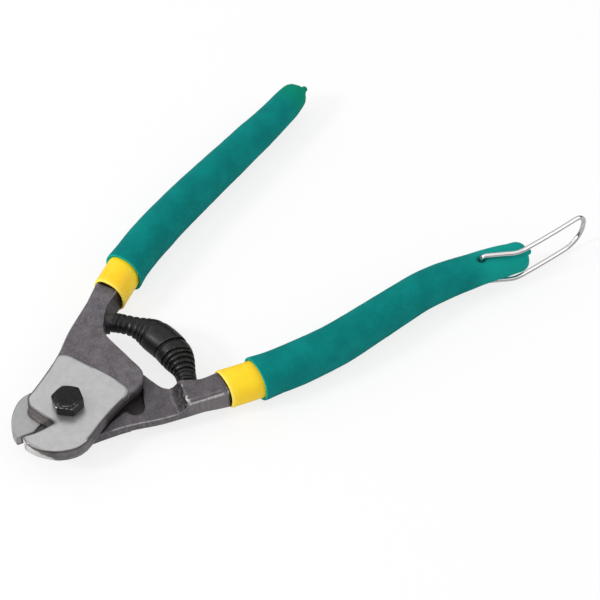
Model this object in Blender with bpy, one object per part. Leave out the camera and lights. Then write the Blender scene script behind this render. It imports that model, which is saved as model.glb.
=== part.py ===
"""Cable cutter: two lapped levers on a hexagon bolt, with a volute spring, dipped grips and a wire latch.

The pivot axis is the Z axis and the tool lies flat on z = 0.  +X points along the bisector of the
handles.  The front lever is the one whose head is on top, and its handle goes towards +Y.  The rear
lever is the same forging turned over, so its handle goes towards -Y.
"""
import math

import bmesh
import bpy
import numpy as np
from mathutils import Vector

# Overall sizes, in metres
HEAD_RADIUS = 0.0208
PLATE_THICKNESS = 0.00395
HANDLE_REACH = 0.180
HALF_OPENING = math.radians(19.84)
FIT_GAP = 0.0003
OVERRUN = 0.003

# Lever forging
SHANK_HALF_WIDTH = 0.0041
SHANK_RUN = 0.00666
EDGE_BEVEL = 0.0006
NOSE_BEVEL_DEPTH = 0.0021
RELIEF_DEPTH = 0.0003
RIDGE_DEPTH = 0.0005
LAP_SLANT = 0.0925
LAP_STEP_RUN = 0.0040
POCKET_DEPTH = 0.0026
BLUNT_TIP_HEIGHT = 0.0034
TANG_ROOT = 0.0075
TANG_HALF_WIDTH = 0.0032
TANG_HALF_THICKNESS = 0.0034
TANG_SETBACK = 0.0080
TANG_SQUARENESS = 4.0

# Bolt and nut
BOLT_DIAMETER = 0.0060
HEX_ACROSS_FLATS = 0.0100
HEX_TURN = math.radians(7.4)
HEAD_HEIGHT = 0.0037
HEX_CHAMFER = 0.0007
NUT_HEIGHT = 0.0040
CHAMFER_SLOPE = math.tan(math.radians(30))

# Sleeves and grips
SLEEVE_OVERLAP = 0.0024
SLEEVE_SHOWING = 0.0120
SLEEVE_HALF_WIDTH = 0.00655
SLEEVE_HALF_THICKNESS = 0.00685
SLEEVE_LIP = 0.0006
SLEEVE_SQUARENESS = 2.3
SHANK_SQUARENESS = 8.0
BORE_CLEARANCE = 0.00036
DRAW_IN_RUN = 0.0036
MOUTH_RUN = 0.0096
DIP_ANGLE = math.radians(-6.9)
DIP_RUN = 0.0259
GRIP_SQUARENESS = 2.2
NUB_SQUARENESS = 2.0
GRIP_HALF_WIDTH = 0.0071
GRIP_HALF_THICKNESS = 0.0087
GRIP_WALL = 0.0016
END_WALL = 0.0012
NUB_RADIUS = 0.0013
NUB_LENGTH = 0.0016
NUB_RISE = 0.0014

# Volute spring
SEAT_GAP = 0.0004
PEG_LENGTH = 0.0032
SPRING_TURNS = 16
SPRING_MID_RADIUS = 0.0059
SPRING_END_RADIUS = 0.0033
SPRING_BULGE_REACH = 0.0120
SPRING_BULGE_POWER = 4
STRIP_THICKNESS = 0.0005
STRIP_GAP = 0.00055
WIDE_TURN_EXTRA = 0.0065
WIDE_TURNS = 1.1
WIDE_TURN_AT = 0.2

# Latch bail
WIRE_RADIUS = 0.00085
LATCH_SETBACK = 0.0203
LATCH_ASIDE = 0.0005
LATCH_PIN_LENGTH = 0.0040
LATCH_REACH = 0.0418
LATCH_TOP_BEND = 0.0035
LATCH_LOW_BEND = 0.0080
LATCH_PIN_BEND = 0.0018

# Smoothness
CURVE_STEPS = 4
ROUND_SIDES = 36
GRIP_SIDES = 20
TANG_RINGS = 14
WIRE_SIDES = 10
SPRING_SIDES = 18
BEND_STEPS = 5
HIDDEN_RINGS = 9
MOUTH_RING_COUNTS = [1, 4, 7]

MID_Z = GRIP_HALF_THICKNESS

# Head outline in shares of the head's radius: the edge of the ground face, towards +Y the outer side.
# The nose and the mouth stand out further at the lap than at the face, by the flare shares.
TIP_SHARES = [(-0.894, 0.351)]
NOSE_SHARES = [(-0.976, 0.221), (-1.0, 0.02), (-0.966, -0.144), (-0.885, -0.327), (-0.745, -0.51),
               (-0.591, -0.615), (-0.385, -0.654)]
HEEL_SHARES = [(-0.1, -0.669), (0.2, -0.702), (0.5, -0.755)]
LOBE_SHARES = [(0.67, -0.832), (0.817, -0.88), (0.986, -0.861), (1.144, -0.779), (1.231, -0.663)]
WINDOW_SHARES = [(1.298, -0.495), (1.394, -0.274), (1.49, -0.048), (1.572, 0.125), (1.65, 0.216),
                 (1.75, 0.28), (1.9, 0.338), (2.05, 0.396), (2.17, 0.437), (2.3, 0.452)]
OUTER_SHARES = [(2.3, 0.846), (1.92, 0.827), (1.44, 0.793), (1.2, 0.76), (0.96, 0.712), (0.72, 0.678),
                (0.385, 0.668), (0.05, 0.673), (-0.154, 0.688)]
MOUTH_SHARES = [(-0.24, 0.63), (-0.303, 0.553), (-0.341, 0.409), (-0.385, 0.197), (-0.394, 0.077),
                (-0.428, 0.029), (-0.466, 0.038)]
HOOK_SHARES = [(-0.606, 0.115), (-0.736, 0.202)]
NOSE_FLARE_SHARES = [0.035, 0.035, 0.05, 0.077, 0.077, 0.058, 0.046]
HEEL_FLARE_SHARE = 0.031
RIDGE_INSET_SHARE = 0.07
RIDGE_SHARES = [0.95, 1.0, 1.1, 0.7, 0.35, 0.18, 0.18, 0.18, 0.18, 0.18]
MOUTH_FLARE_SHARES = [0.019, 0.0625, 0.0625, 0.0625, 0.047, 0.019, 0.0]
PAD_EDGE_SHARES = [(0.78, 0.9), (0.82, 0.68), (0.88, 0.62), (0.904, 0.5), (0.89, 0.34), (0.861, 0.0),
                   (0.817, -0.34), (0.769, -0.55), (0.721, -0.69), (0.654, -0.742), (0.577, -0.765),
                   (0.48, -0.9)]
POCKET_SHARES = [(0.3, 0.65), (0.48, 0.52), (0.67, 0.428), (0.85, 0.37), (0.895, 0.44), (0.96, 0.51),
                 (1.043, 0.53), (1.125, 0.5), (1.183, 0.42), (1.216, 0.29), (1.26, 0.14), (1.3, 0.0),
                 (1.2, -0.05), (0.96, 0.07), (0.67, 0.22), (0.38, 0.41)]

LAP_END_SHARE = 1.692
SEAT_SHARE = 1.971

# Handle centrelines: station and outward offset from the shank's root, both in shares of the handle's length
FRONT_LINE_SHARES = [(-0.1345, -0.0199), (0.0275, -0.0008), (0.1896, 0.0041), (0.3517, -0.0117),
                     (0.5138, -0.0384), (0.6758, -0.0682), (0.8379, -0.0981), (1.0, -0.1188)]
REAR_LINE_SHARES = [(-0.1345, -0.0196), (0.0275, -0.0012), (0.1896, 0.0025), (0.3517, -0.0133),
                    (0.5138, -0.0517), (0.6758, -0.0904), (0.8379, -0.0968), (1.0, -0.0862)]

# Section tables: station in shares of the piece's length, then width and thickness in shares of the full size
GRIP_SHARES = [(0.0, 1.014, 0.862), (0.0526, 1.008, 0.92), (0.1381, 1.0, 1.0), (0.2545, 0.98, 1.0),
               (0.3943, 0.96, 0.97), (0.5341, 0.94, 0.905), (0.6583, 0.925, 0.82), (0.7515, 0.9, 0.735),
               (0.8292, 0.875, 0.675), (0.8991, 0.85, 0.65), (0.9379, 0.785, 0.61), (0.9658, 0.63, 0.5),
               (0.9798, 0.43, 0.36)]
NUB_START_SHARE = 0.986
NUB_SHARES = [(0.0, 1.0), (0.7, 0.9), (1.0, 0.5)]
TANG_SHARES = [(0.078, 1.0, 1.0), (0.344, 0.97, 0.97), (0.632, 0.91, 0.91), (0.819, 0.85, 0.85),
               (0.92, 0.78, 0.74), (0.97, 0.7, 0.66)]

# Latch arm seen from above: distance from its pivot and sideways offset, in shares of the latch's reach
LATCH_HEADING = math.radians(-37.3)
LATCH_ARM_SHARES = [(0.1, 0.0), (0.2, 0.0), (0.298, 0.0), (0.364, 0.02), (0.443, 0.061), (0.544, 0.116),
                    (0.695, 0.202), (0.8, 0.264)]
LATCH_END_SHARE = 0.385

# Places along a lever that follow from the sizes
HEAD_END = HEAD_RADIUS * OUTER_SHARES[0][0]
NECK_OFFSET = HEAD_RADIUS * (OUTER_SHARES[0][1] + WINDOW_SHARES[-1][1]) / 2
LAP_END = HEAD_RADIUS * LAP_END_SHARE
SEAT_STATION = HEAD_RADIUS * SEAT_SHARE
SHANK_END = HEAD_END + SHANK_RUN
TANG_START = SHANK_END - TANG_ROOT
TANG_END = HANDLE_REACH - TANG_SETBACK
SLEEVE_START = SHANK_END - SLEEVE_OVERLAP
GRIP_START = SLEEVE_START + SLEEVE_SHOWING
MOUTH_END = GRIP_START + MOUTH_RUN
DIP_END = GRIP_START + DIP_RUN
LATCH_STATION = HANDLE_REACH - LATCH_SETBACK


def clear_scene():
    for item in list(bpy.data.objects):
        bpy.data.objects.remove(item, do_unlink=True)


def material(name, colour, roughness, metallic):
    mat = bpy.data.materials.new(name)
    mat.use_nodes = True
    shader = mat.node_tree.nodes["Principled BSDF"]
    shader.inputs["Base Color"].default_value = (*colour, 1.0)
    shader.inputs["Roughness"].default_value = roughness
    shader.inputs["Metallic"].default_value = metallic
    return mat


def scaled(shares, size):
    return [tuple(value * size for value in point) for point in shares]


def smooth_run(points, steps=CURVE_STEPS):
    """Points along a smooth curve through the given ones, each a tuple of any length."""
    pts = np.array(points, dtype=float)
    ends = np.vstack([2 * pts[0] - pts[1], pts, 2 * pts[-1] - pts[-2]])
    out = []
    for i in range(1, len(ends) - 2):
        a, b, c, d = ends[i - 1:i + 3]
        for k in range(steps):
            t = k / steps
            out.append(0.5 * (2 * b + (c - a) * t + (2 * a - 5 * b + 4 * c - d) * t ** 2
                              + (3 * b - a - 3 * c + d) * t ** 3))
    out.append(pts[-1])
    return np.array(out)


def lever_point(side, station, offset, height):
    """A point of one lever's own frame, in the world; side is 1 for the front lever, -1 for the rear."""
    c, s = math.cos(HALF_OPENING), math.sin(HALF_OPENING)
    return Vector((station * c - offset * s, side * (station * s + offset * c), MID_Z + side * height))


def lever_direction(side, along, outward):
    c, s = math.cos(HALF_OPENING), math.sin(HALF_OPENING)
    return Vector((along * c - outward * s, side * (along * s + outward * c), 0.0))


def centreline(side):
    shares = np.array(FRONT_LINE_SHARES if side > 0 else REAR_LINE_SHARES)
    return shares * (HANDLE_REACH - HEAD_END) + (HEAD_END, NECK_OFFSET)


def line_at(side, station):
    """Offset of a handle's centreline at a station, and the direction of the line there."""
    fine = smooth_run(centreline(side), 16)
    here = min(station, HANDLE_REACH - GRIP_WALL)
    behind, offset, ahead = np.interp([here - GRIP_WALL, here, here + GRIP_WALL], fine[:, 0], fine[:, 1])
    rise = (ahead - behind) / (2 * GRIP_WALL)
    return float(offset + rise * (station - here)), math.atan(rise)


def add_mesh(name, vertices, faces, mat=None, smooth_angle=None):
    mesh = bpy.data.meshes.new(name)
    mesh.from_pydata([tuple(v) for v in vertices], [], faces)
    item = bpy.data.objects.new(name, mesh)
    bpy.context.scene.collection.objects.link(item)
    work = bmesh.new()
    work.from_mesh(mesh)
    bmesh.ops.recalc_face_normals(work, faces=work.faces)
    work.to_mesh(mesh)
    work.free()
    if mat:
        mesh.materials.append(mat)
    if smooth_angle:
        mesh.shade_smooth()
        mesh.set_sharp_from_angle(angle=smooth_angle)
    return item


def rings_mesh(rings, closed=False):
    """Vertices and faces of equal rings joined in order, with capped ends or closed on themselves."""
    count = len(rings[0])
    vertices = [p for ring in rings for p in ring]
    faces = []
    pairs = len(rings) if closed else len(rings) - 1
    for i in range(pairs):
        a, b = i * count, (i + 1) % len(rings) * count
        for k in range(count):
            n = (k + 1) % count
            faces.append((a + k, a + n, b + n, b + k))
    if not closed:
        faces.append(tuple(reversed(range(count))))
        faces.append(tuple(range((len(rings) - 1) * count, len(rings) * count)))
    return vertices, faces


def halved(faces):
    """The same faces with every four-sided one split in two, so that all are flat."""
    out = []
    for face in faces:
        out += [(*face[:3],), (face[0], *face[2:])] if len(face) == 4 else [face]
    return out


def cutter(name, vertices, faces):
    item = add_mesh(name, vertices, faces)
    item.hide_render = True
    item.display_type = 'WIRE'
    return item


def boolean(target, tool, operation='DIFFERENCE'):
    step = target.modifiers.new(tool.name, 'BOOLEAN')
    step.operation = operation
    step.solver = 'EXACT'
    step.object = tool


def joined(target, tool):
    tool.hide_render = True
    tool.display_type = 'WIRE'
    boolean(target, tool, 'UNION')


def prism(name, side, outline, low, high):
    """A cutter in a lever's frame: an outline of (station, offset) between two heights."""
    rings = [[lever_point(side, x, y, z) for x, y in outline] for z in (low, high)]
    return cutter(name, *rings_mesh(rings))


def disc(radius, sides=ROUND_SIDES):
    turn = 2 * math.pi / sides
    return [(radius * math.cos(k * turn), radius * math.sin(k * turn)) for k in range(sides)]


# Levers


def head_outline(side):
    """The lever blank's outline: point, stand-out at the lap, set-back at the face, depth of the slope."""
    nose_size = HEAD_RADIUS if side > 0 else 0.0
    rows = []

    def run(points, flares, insets, depths):
        columns = np.broadcast_arrays(flares, insets, depths, np.zeros(len(points)))[:3]
        rows.extend(smooth_run(np.column_stack([points, *columns])))

    tip = scaled(TIP_SHARES, HEAD_RADIUS)
    nose = scaled(NOSE_SHARES, HEAD_RADIUS)
    heel = scaled(HEEL_SHARES, HEAD_RADIUS)
    lobe = scaled(LOBE_SHARES, HEAD_RADIUS)
    window = scaled(WINDOW_SHARES, HEAD_RADIUS)
    outer = scaled(OUTER_SHARES, HEAD_RADIUS)
    mouth = scaled(MOUTH_SHARES, HEAD_RADIUS)
    hook = scaled(HOOK_SHARES, HEAD_RADIUS)
    centre = line_at(side, SHANK_END)[0]
    window.append((SHANK_END, centre - SHANK_HALF_WIDTH))
    outer.insert(0, (SHANK_END, centre + SHANK_HALF_WIDTH))
    ridge = np.array(RIDGE_SHARES)
    rows.append((*tip[0], 0.0, 0.0, NOSE_BEVEL_DEPTH))
    run(nose, np.array(NOSE_FLARE_SHARES) * nose_size, 0.0, NOSE_BEVEL_DEPTH)
    run(heel, HEEL_FLARE_SHARE * nose_size, 0.0, NOSE_BEVEL_DEPTH)
    run(lobe, 0.0, EDGE_BEVEL, EDGE_BEVEL)
    run(window, 0.0, EDGE_BEVEL, EDGE_BEVEL)
    run(outer, 0.0, ridge * RIDGE_INSET_SHARE * HEAD_RADIUS, ridge * RIDGE_DEPTH)
    run(mouth, np.array(MOUTH_FLARE_SHARES) * HEAD_RADIUS, 0.0, PLATE_THICKNESS - FIT_GAP)
    run(hook, 0.0, 0.0, EDGE_BEVEL)
    return np.array(rows)


def outward_normals(points):
    """Unit normals of a closed outline, pointing away from its inside."""
    ahead = np.roll(points, -1, axis=0) - np.roll(points, 1, axis=0)
    area = np.sum(points[:, 0] * np.roll(points[:, 1], -1) - np.roll(points[:, 0], -1) * points[:, 1])
    turn = np.sign(area)
    normals = np.stack([ahead[:, 1] * turn, -ahead[:, 0] * turn], axis=1)
    return normals / np.linalg.norm(normals, axis=1)[:, None]


def lever_blank(name, side, mat):
    rows = head_outline(side)
    points, flare, inset, depth = rows[:, :2], rows[:, 2:3], rows[:, 3:4], rows[:, 4]
    normals = outward_normals(points)
    lap = points + normals * flare
    face = points - normals * inset
    top = PLATE_THICKNESS
    layers = [(face, np.full(len(rows), -top)), (lap, -top + depth), (lap, top - depth),
              (face, np.full(len(rows), top))]
    rings = [[lever_point(side, x, y, z) for (x, y), z in zip(plan, heights)] for plan, heights in layers]
    vertices, faces = rings_mesh(rings)
    return add_mesh(name, vertices, halved(faces), mat)


def ring_angle(slope, station):
    """The sleeves and grips are cut off along the dip line; further on the rings turn square."""
    share = min(max((station - GRIP_START) / (DIP_END - GRIP_START), 0.0), 1.0)
    return DIP_ANGLE + (slope - DIP_ANGLE) * share


def section(side, station, half_width, half_thickness, sides, power, rise=0.0):
    """A rounded ring around the handle's centreline, square to it or in the plane of the dip line."""
    offset, slope = line_at(side, station)
    along, aside = math.cos(slope), math.sin(slope)
    lean = math.tan(slope - ring_angle(slope, station))
    ring = []
    for k in range(sides):
        q = 2 * math.pi * k / sides
        c, s = math.cos(q), math.sin(q)
        across = half_width * math.copysign(abs(c) ** (2 / power), c)
        up = half_thickness * math.copysign(abs(s) ** (2 / power), s) + side * rise
        ring.append(lever_point(side, station + across * (lean * along - aside),
                                offset + across * (lean * aside + along), up))
    return ring


def tang_size(station):
    table = np.array(TANG_SHARES)
    share = (station - TANG_START) / (TANG_END - TANG_START)
    width = np.interp(share, table[:, 0], table[:, 1]) * TANG_HALF_WIDTH
    thickness = np.interp(share, table[:, 0], table[:, 2]) * TANG_HALF_THICKNESS
    return width, thickness


def tang_stations():
    return np.linspace(TANG_START, TANG_END, TANG_RINGS)


def add_tang(lever, name, side):
    rings = [section(side, s, *tang_size(s), GRIP_SIDES, TANG_SQUARENESS) for s in tang_stations()]
    vertices, faces = rings_mesh(rings)
    joined(lever, add_mesh(name + "_tang", vertices, faces))


def cut_lap(lever, name, side):
    """Turns the head down to half thickness, with a sloped step where the shank begins."""
    floor = FIT_GAP / 2
    slope = LAP_STEP_RUN / PLATE_THICKNESS
    reach = SHANK_END
    rings = []
    for height in (floor, -PLATE_THICKNESS - OVERRUN):
        end = LAP_END + (floor - height) * slope
        outline = [(-reach, -reach), (end + reach * LAP_SLANT, -reach), (end - reach * LAP_SLANT, reach),
                   (-reach, reach)]
        rings.append([lever_point(side, x, y, height) for x, y in outline])
    boolean(lever, cutter(name + "_lap", *rings_mesh(rings)))


def cut_relief(lever, name, side):
    """Leaves the ground pad proud of the forged skin around it."""
    edge = smooth_run(scaled(PAD_EDGE_SHARES, HEAD_RADIUS))
    far = SHANK_END + OVERRUN
    outline = [tuple(p) for p in edge] + [(far, -far), (far, far)]
    boolean(lever, prism(name + "_relief", side, outline, PLATE_THICKNESS - RELIEF_DEPTH,
                         PLATE_THICKNESS + OVERRUN))


def cut_pocket(lever, name, side):
    outline = smooth_run(scaled(POCKET_SHARES + POCKET_SHARES[:1], HEAD_RADIUS), 2)[:-1]
    boolean(lever, prism(name + "_pocket", side, outline, -OVERRUN, POCKET_DEPTH))


def cut_bolt_hole(lever, name, side):
    radius = BOLT_DIAMETER / 2 + FIT_GAP
    reach = PLATE_THICKNESS + OVERRUN
    boolean(lever, prism(name + "_bolt_hole", side, disc(radius), -reach, reach))


def cut_blunt_tip(lever, name, side):
    near, far = HOOK_SHARES[0][0] * HEAD_RADIUS, -HEAD_RADIUS - OVERRUN
    low, high = BLUNT_TIP_HEIGHT, HEAD_RADIUS
    reach = PLATE_THICKNESS + OVERRUN
    boolean(lever, prism(name + "_blunt_tip", side, [(far, low), (near, low), (near, high), (far, high)],
                         -reach, reach))


def seat(side):
    """Where the spring stands on a lever: the point on the inner face and the direction out of it."""
    rows = head_outline(side)
    inner = rows[(rows[:, 1] < centreline(side)[1][1]) & (rows[:, 0] > LAP_END)]
    inner = inner[np.argsort(inner[:, 0])]
    offset = float(np.interp(SEAT_STATION, inner[:, 0], inner[:, 1]))
    near = float(np.interp(SEAT_STATION - PEG_LENGTH, inner[:, 0], inner[:, 1]))
    far = float(np.interp(SEAT_STATION + PEG_LENGTH, inner[:, 0], inner[:, 1]))
    slope = math.atan2(far - near, 2 * PEG_LENGTH)
    return (lever_point(side, SEAT_STATION, offset, 0.0),
            lever_direction(side, math.sin(slope), -math.cos(slope)))


def add_peg(lever, name, side):
    """The peg that the spring's end turns sit over."""
    foot, out = seat(side)
    across = Vector((0, 0, 1)).cross(out)
    radius = SPRING_END_RADIUS - STRIP_THICKNESS / 2 - FIT_GAP
    rings = []
    for r, reach in ((radius, -OVERRUN), (radius, PEG_LENGTH - EDGE_BEVEL), (radius - EDGE_BEVEL, PEG_LENGTH)):
        rings.append([foot + out * reach + across * x + Vector((0, 0, y)) for x, y in disc(r, WIRE_SIDES * 2)])
    vertices, faces = rings_mesh(rings)
    joined(lever, add_mesh(name + "_peg", vertices, faces))


def make_lever(name, side, mat):
    lever = lever_blank(name, side, mat)
    add_tang(lever, name, side)
    add_peg(lever, name, side)
    cut_lap(lever, name, side)
    cut_relief(lever, name, side)
    cut_pocket(lever, name, side)
    cut_bolt_hole(lever, name, side)
    if side < 0:
        cut_blunt_tip(lever, name, side)
        cut_latch_hole(lever, name)
    return lever


# Bolt and nut


def hexagon_rings(low, high, bevel_low, bevel_high):
    """Rings of a hexagon prism whose corners are taken off by 30 degree cones."""
    flat = HEX_ACROSS_FLATS / 2
    inner = flat - HEX_CHAMFER
    sixth = math.pi / 3
    rings = [[], [], [], []]
    for k in range(ROUND_SIDES):
        angle = 2 * math.pi * k / ROUND_SIDES
        reach = flat / math.cos((angle % sixth) - sixth / 2)
        drop = (reach - inner) * CHAMFER_SLOPE
        c, s = math.cos(angle + HEX_TURN), math.sin(angle + HEX_TURN)
        rings[0].append(Vector((inner * c, inner * s, low)))
        rings[1].append(Vector((reach * c, reach * s, low + drop * bevel_low)))
        rings[2].append(Vector((reach * c, reach * s, high - drop * bevel_high)))
        rings[3].append(Vector((inner * c, inner * s, high)))
    return rings


def round_ring(radius, height):
    ring = []
    for k in range(ROUND_SIDES):
        angle = 2 * math.pi * k / ROUND_SIDES + HEX_TURN
        ring.append(Vector((radius * math.cos(angle), radius * math.sin(angle), height)))
    return ring


def make_bolt(mat):
    """A hexagon bolt, its tail flush with the plane that the tool rests on."""
    low = MID_Z + PLATE_THICKNESS + FIT_GAP
    radius = BOLT_DIAMETER / 2
    rings = [round_ring(radius - EDGE_BEVEL, 0.0), round_ring(radius, EDGE_BEVEL), round_ring(radius, low)]
    rings += hexagon_rings(low, low + HEAD_HEIGHT, 0, 1)
    vertices, faces = rings_mesh(rings)
    return add_mesh("pivot_bolt", vertices, faces, mat, math.radians(25))


def make_nut(mat):
    high = MID_Z - PLATE_THICKNESS - FIT_GAP
    low = high - NUT_HEIGHT
    bore = BOLT_DIAMETER / 2 + FIT_GAP
    rings = [round_ring(bore, high), round_ring(bore, low)] + hexagon_rings(low, high, 1, 1)
    vertices, faces = rings_mesh(rings, closed=True)
    return add_mesh("pivot_nut", vertices, faces, mat, math.radians(25))


# Sleeves and grips


def grip_station(share):
    return GRIP_START + (HANDLE_REACH - GRIP_START) * share


def grip_size(station):
    table = np.array(GRIP_SHARES)
    share = (station - GRIP_START) / (HANDLE_REACH - GRIP_START)
    width = np.interp(share, table[:, 0], table[:, 1]) * GRIP_HALF_WIDTH
    thickness = np.interp(share, table[:, 0], table[:, 2]) * GRIP_HALF_THICKNESS
    return width, thickness


def sleeve_size(station):
    """Outer half sizes of a sleeve: full up to the grip's mouth, then drawn in under the grip."""
    width, thickness = grip_size(station)
    inside = (width - GRIP_WALL - FIT_GAP, thickness - GRIP_WALL - FIT_GAP)
    blend = min(max((station - GRIP_START - SLEEVE_LIP) / DRAW_IN_RUN, 0.0), 1.0)
    return (SLEEVE_HALF_WIDTH * (1 - blend) + inside[0] * blend,
            SLEEVE_HALF_THICKNESS * (1 - blend) + inside[1] * blend)


def bore_size(station):
    """Inner half sizes of a sleeve past the shank, clear of the tang."""
    width, thickness = tang_size(station)
    return width + BORE_CLEARANCE, thickness + BORE_CLEARANCE


def sock(name, side, inner, outer, mat):
    """A closed sock from rows of (station, half width, half thickness, squareness, rise)."""
    rings = [section(side, *row[:3], GRIP_SIDES, *row[3:]) for row in inner + outer]
    vertices, faces = rings_mesh(rings)
    return add_mesh(name, vertices, faces, mat, math.radians(40))


def make_sleeve(name, side, mat):
    """The dipped sleeve: bare up to the grip, then hidden in it to the end of the handle."""
    bore_end = TANG_END + FIT_GAP
    step = SHANK_END + SHANK_HALF_WIDTH * abs(math.tan(DIP_ANGLE)) + FIT_GAP
    stations = [bore_end] + [s for s in reversed(tang_stations()) if s > step + 2 * SLEEVE_LIP]
    inner = [(s, *bore_size(s), TANG_SQUARENESS) for s in stations + [step + SLEEVE_LIP]]
    wide = (SHANK_HALF_WIDTH + BORE_CLEARANCE, PLATE_THICKNESS + BORE_CLEARANCE, SHANK_SQUARENESS)
    inner += [(step, *wide), (SLEEVE_START, *wide)]
    lip = SLEEVE_LIP
    outer = [(SLEEVE_START, SLEEVE_HALF_WIDTH - lip, SLEEVE_HALF_THICKNESS - lip, SLEEVE_SQUARENESS)]
    stations = [SLEEVE_START + lip] + [GRIP_START + count * lip for count in MOUTH_RING_COUNTS]
    stations += list(np.linspace(MOUTH_END, bore_end, HIDDEN_RINGS))
    outer += [(s, *sleeve_size(s), SLEEVE_SQUARENESS) for s in stations]
    width, thickness = sleeve_size(bore_end)
    outer += [(bore_end + END_WALL, width - lip, thickness - lip, SLEEVE_SQUARENESS)]
    return sock(name, side, inner, outer, mat)


def make_grip(name, side, mat):
    """The foam grip over a sleeve, with its drip nub at the end."""
    clear = FIT_GAP
    bore_end = TANG_END + END_WALL + 2 * FIT_GAP
    lip = SLEEVE_LIP
    stations = list(np.linspace(bore_end - END_WALL, MOUTH_END, HIDDEN_RINGS))
    stations += [GRIP_START + count * lip for count in reversed(MOUTH_RING_COUNTS)]
    inner = [(bore_end, *(size - lip + clear for size in sleeve_size(TANG_END + FIT_GAP)), GRIP_SQUARENESS)]
    for s in stations + [GRIP_START]:
        width, thickness = sleeve_size(s)
        inner.append((s, width + clear, thickness + clear, GRIP_SQUARENESS))
    outer = []
    for s in [grip_station(row[0]) for row in GRIP_SHARES]:
        outer.append((s, *grip_size(s), GRIP_SQUARENESS))
    for reach_share, width_share in NUB_SHARES:
        radius = NUB_RADIUS * width_share
        station = grip_station(NUB_START_SHARE) + NUB_LENGTH * reach_share
        outer.append((station, radius, radius, NUB_SQUARENESS, NUB_RISE))
    return sock(name, side, inner, outer, mat)


# Volute spring


def spring_arc():
    """The bowed axis between the two seats: its radius, its centre on the X axis and its half length."""
    foot, out = seat(1)
    lean = math.atan2(out.x, -out.y)
    radius = foot.y / math.sin(lean)
    return radius, foot.x - radius * math.cos(lean), radius * lean


def volute_rings():
    """Rings of the strip's four corners along one unbroken winding, widest in the middle turns."""
    arc_radius, centre_x, half_length = spring_arc()
    end = half_length - SEAT_GAP
    spread = WIDE_TURN_EXTRA * WIDE_TURNS * math.sqrt(math.pi) / 2
    pitch = (end - spread) / (SPRING_TURNS / 2)

    def edge(turn):
        place = pitch * turn + spread * math.erf((turn - WIDE_TURN_AT) / WIDE_TURNS)
        return min(max(place, -end), end)

    def corner(place, radius, angle):
        bow = place / arc_radius
        reach = arc_radius + radius * math.cos(angle)
        return Vector((centre_x + reach * math.cos(bow), reach * math.sin(bow), MID_Z + radius * math.sin(angle)))

    rings = []
    steps = SPRING_TURNS * SPRING_SIDES
    for i in range(steps + 1):
        turn = SPRING_TURNS * (i / steps - 0.5)
        angle = 2 * math.pi * turn
        rise = math.exp(-(edge(turn) / SPRING_BULGE_REACH) ** SPRING_BULGE_POWER)
        middle = SPRING_END_RADIUS + (SPRING_MID_RADIUS - SPRING_END_RADIUS) * rise
        low = edge(turn - 0.5) + (STRIP_GAP / 2 if turn - 0.5 > -SPRING_TURNS / 2 else 0.0)
        high = edge(turn + 0.5) - (STRIP_GAP / 2 if turn + 0.5 < SPRING_TURNS / 2 else 0.0)
        inside, outside = middle - STRIP_THICKNESS / 2, middle + STRIP_THICKNESS / 2
        rings.append([corner(low, inside, angle), corner(low, outside, angle),
                      corner(high, outside, angle), corner(high, inside, angle)])
    return rings


def least_gap(rings):
    """Smallest distance between corners of the strip that lie on neighbouring turns."""
    points = np.array([[tuple(p) for p in ring] for ring in rings])
    least = float("inf")
    for shift in range(SPRING_SIDES - 2, SPRING_SIDES + 3):
        a, b = points[:-shift], points[shift:]
        apart = np.linalg.norm(a[:, :, None, :] - b[:, None, :, :], axis=3)
        least = min(least, float(apart.min()))
    return least


def make_spring(mat):
    rings = volute_rings()
    print("least gap between the spring's turns, mm:", round(least_gap(rings) * 1000, 3))
    vertices, faces = rings_mesh(rings)
    return add_mesh("volute_spring", vertices, faces, mat, math.radians(40))


# Latch bail


def latch_pivot():
    return lever_point(-1, LATCH_STATION, line_at(-1, LATCH_STATION)[0] + LATCH_ASIDE, 0.0)


def cut_latch_hole(item, name):
    pivot = latch_pivot()
    reach = GRIP_HALF_THICKNESS + OVERRUN
    radius = WIRE_RADIUS + FIT_GAP
    rings = [[pivot + Vector((x, y, z)) for x, y in disc(radius, 2 * WIRE_SIDES)] for z in (-reach, reach)]
    boolean(item, cutter(name + "_latch_hole", *rings_mesh(rings)))


def rounded(points, radii):
    """A path with an arc of the given radius at each inner point, or the point itself where it is 0."""
    path = [points[0]]
    for before, here, after, radius in zip(points, points[1:], points[2:], radii):
        if radius == 0:
            path.append(here)
            continue
        back, ahead = (before - here).normalized(), (after - here).normalized()
        half = back.angle(ahead) / 2
        start, stop = here + back * radius / math.tan(half), here + ahead * radius / math.tan(half)
        centre = here + (back + ahead).normalized() * radius / math.sin(half)
        for k in range(BEND_STEPS + 1):
            spoke = (start - centre).slerp(stop - centre, k / BEND_STEPS)
            path.append(centre + spoke.normalized() * radius)
    path.append(points[-1])
    return path


def tube_rings(path, radius):
    """Round rings along a path, turned as little as possible from one to the next."""
    rings = []
    side = Vector((1, 0, 0))
    for i, here in enumerate(path):
        tangent = (path[min(i + 1, len(path) - 1)] - path[max(i - 1, 0)]).normalized()
        side = (side - tangent * side.dot(tangent)).normalized()
        up = tangent.cross(side)
        rings.append([here + side * x + up * y for x, y in disc(radius, WIRE_SIDES)])
    return rings


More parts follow.
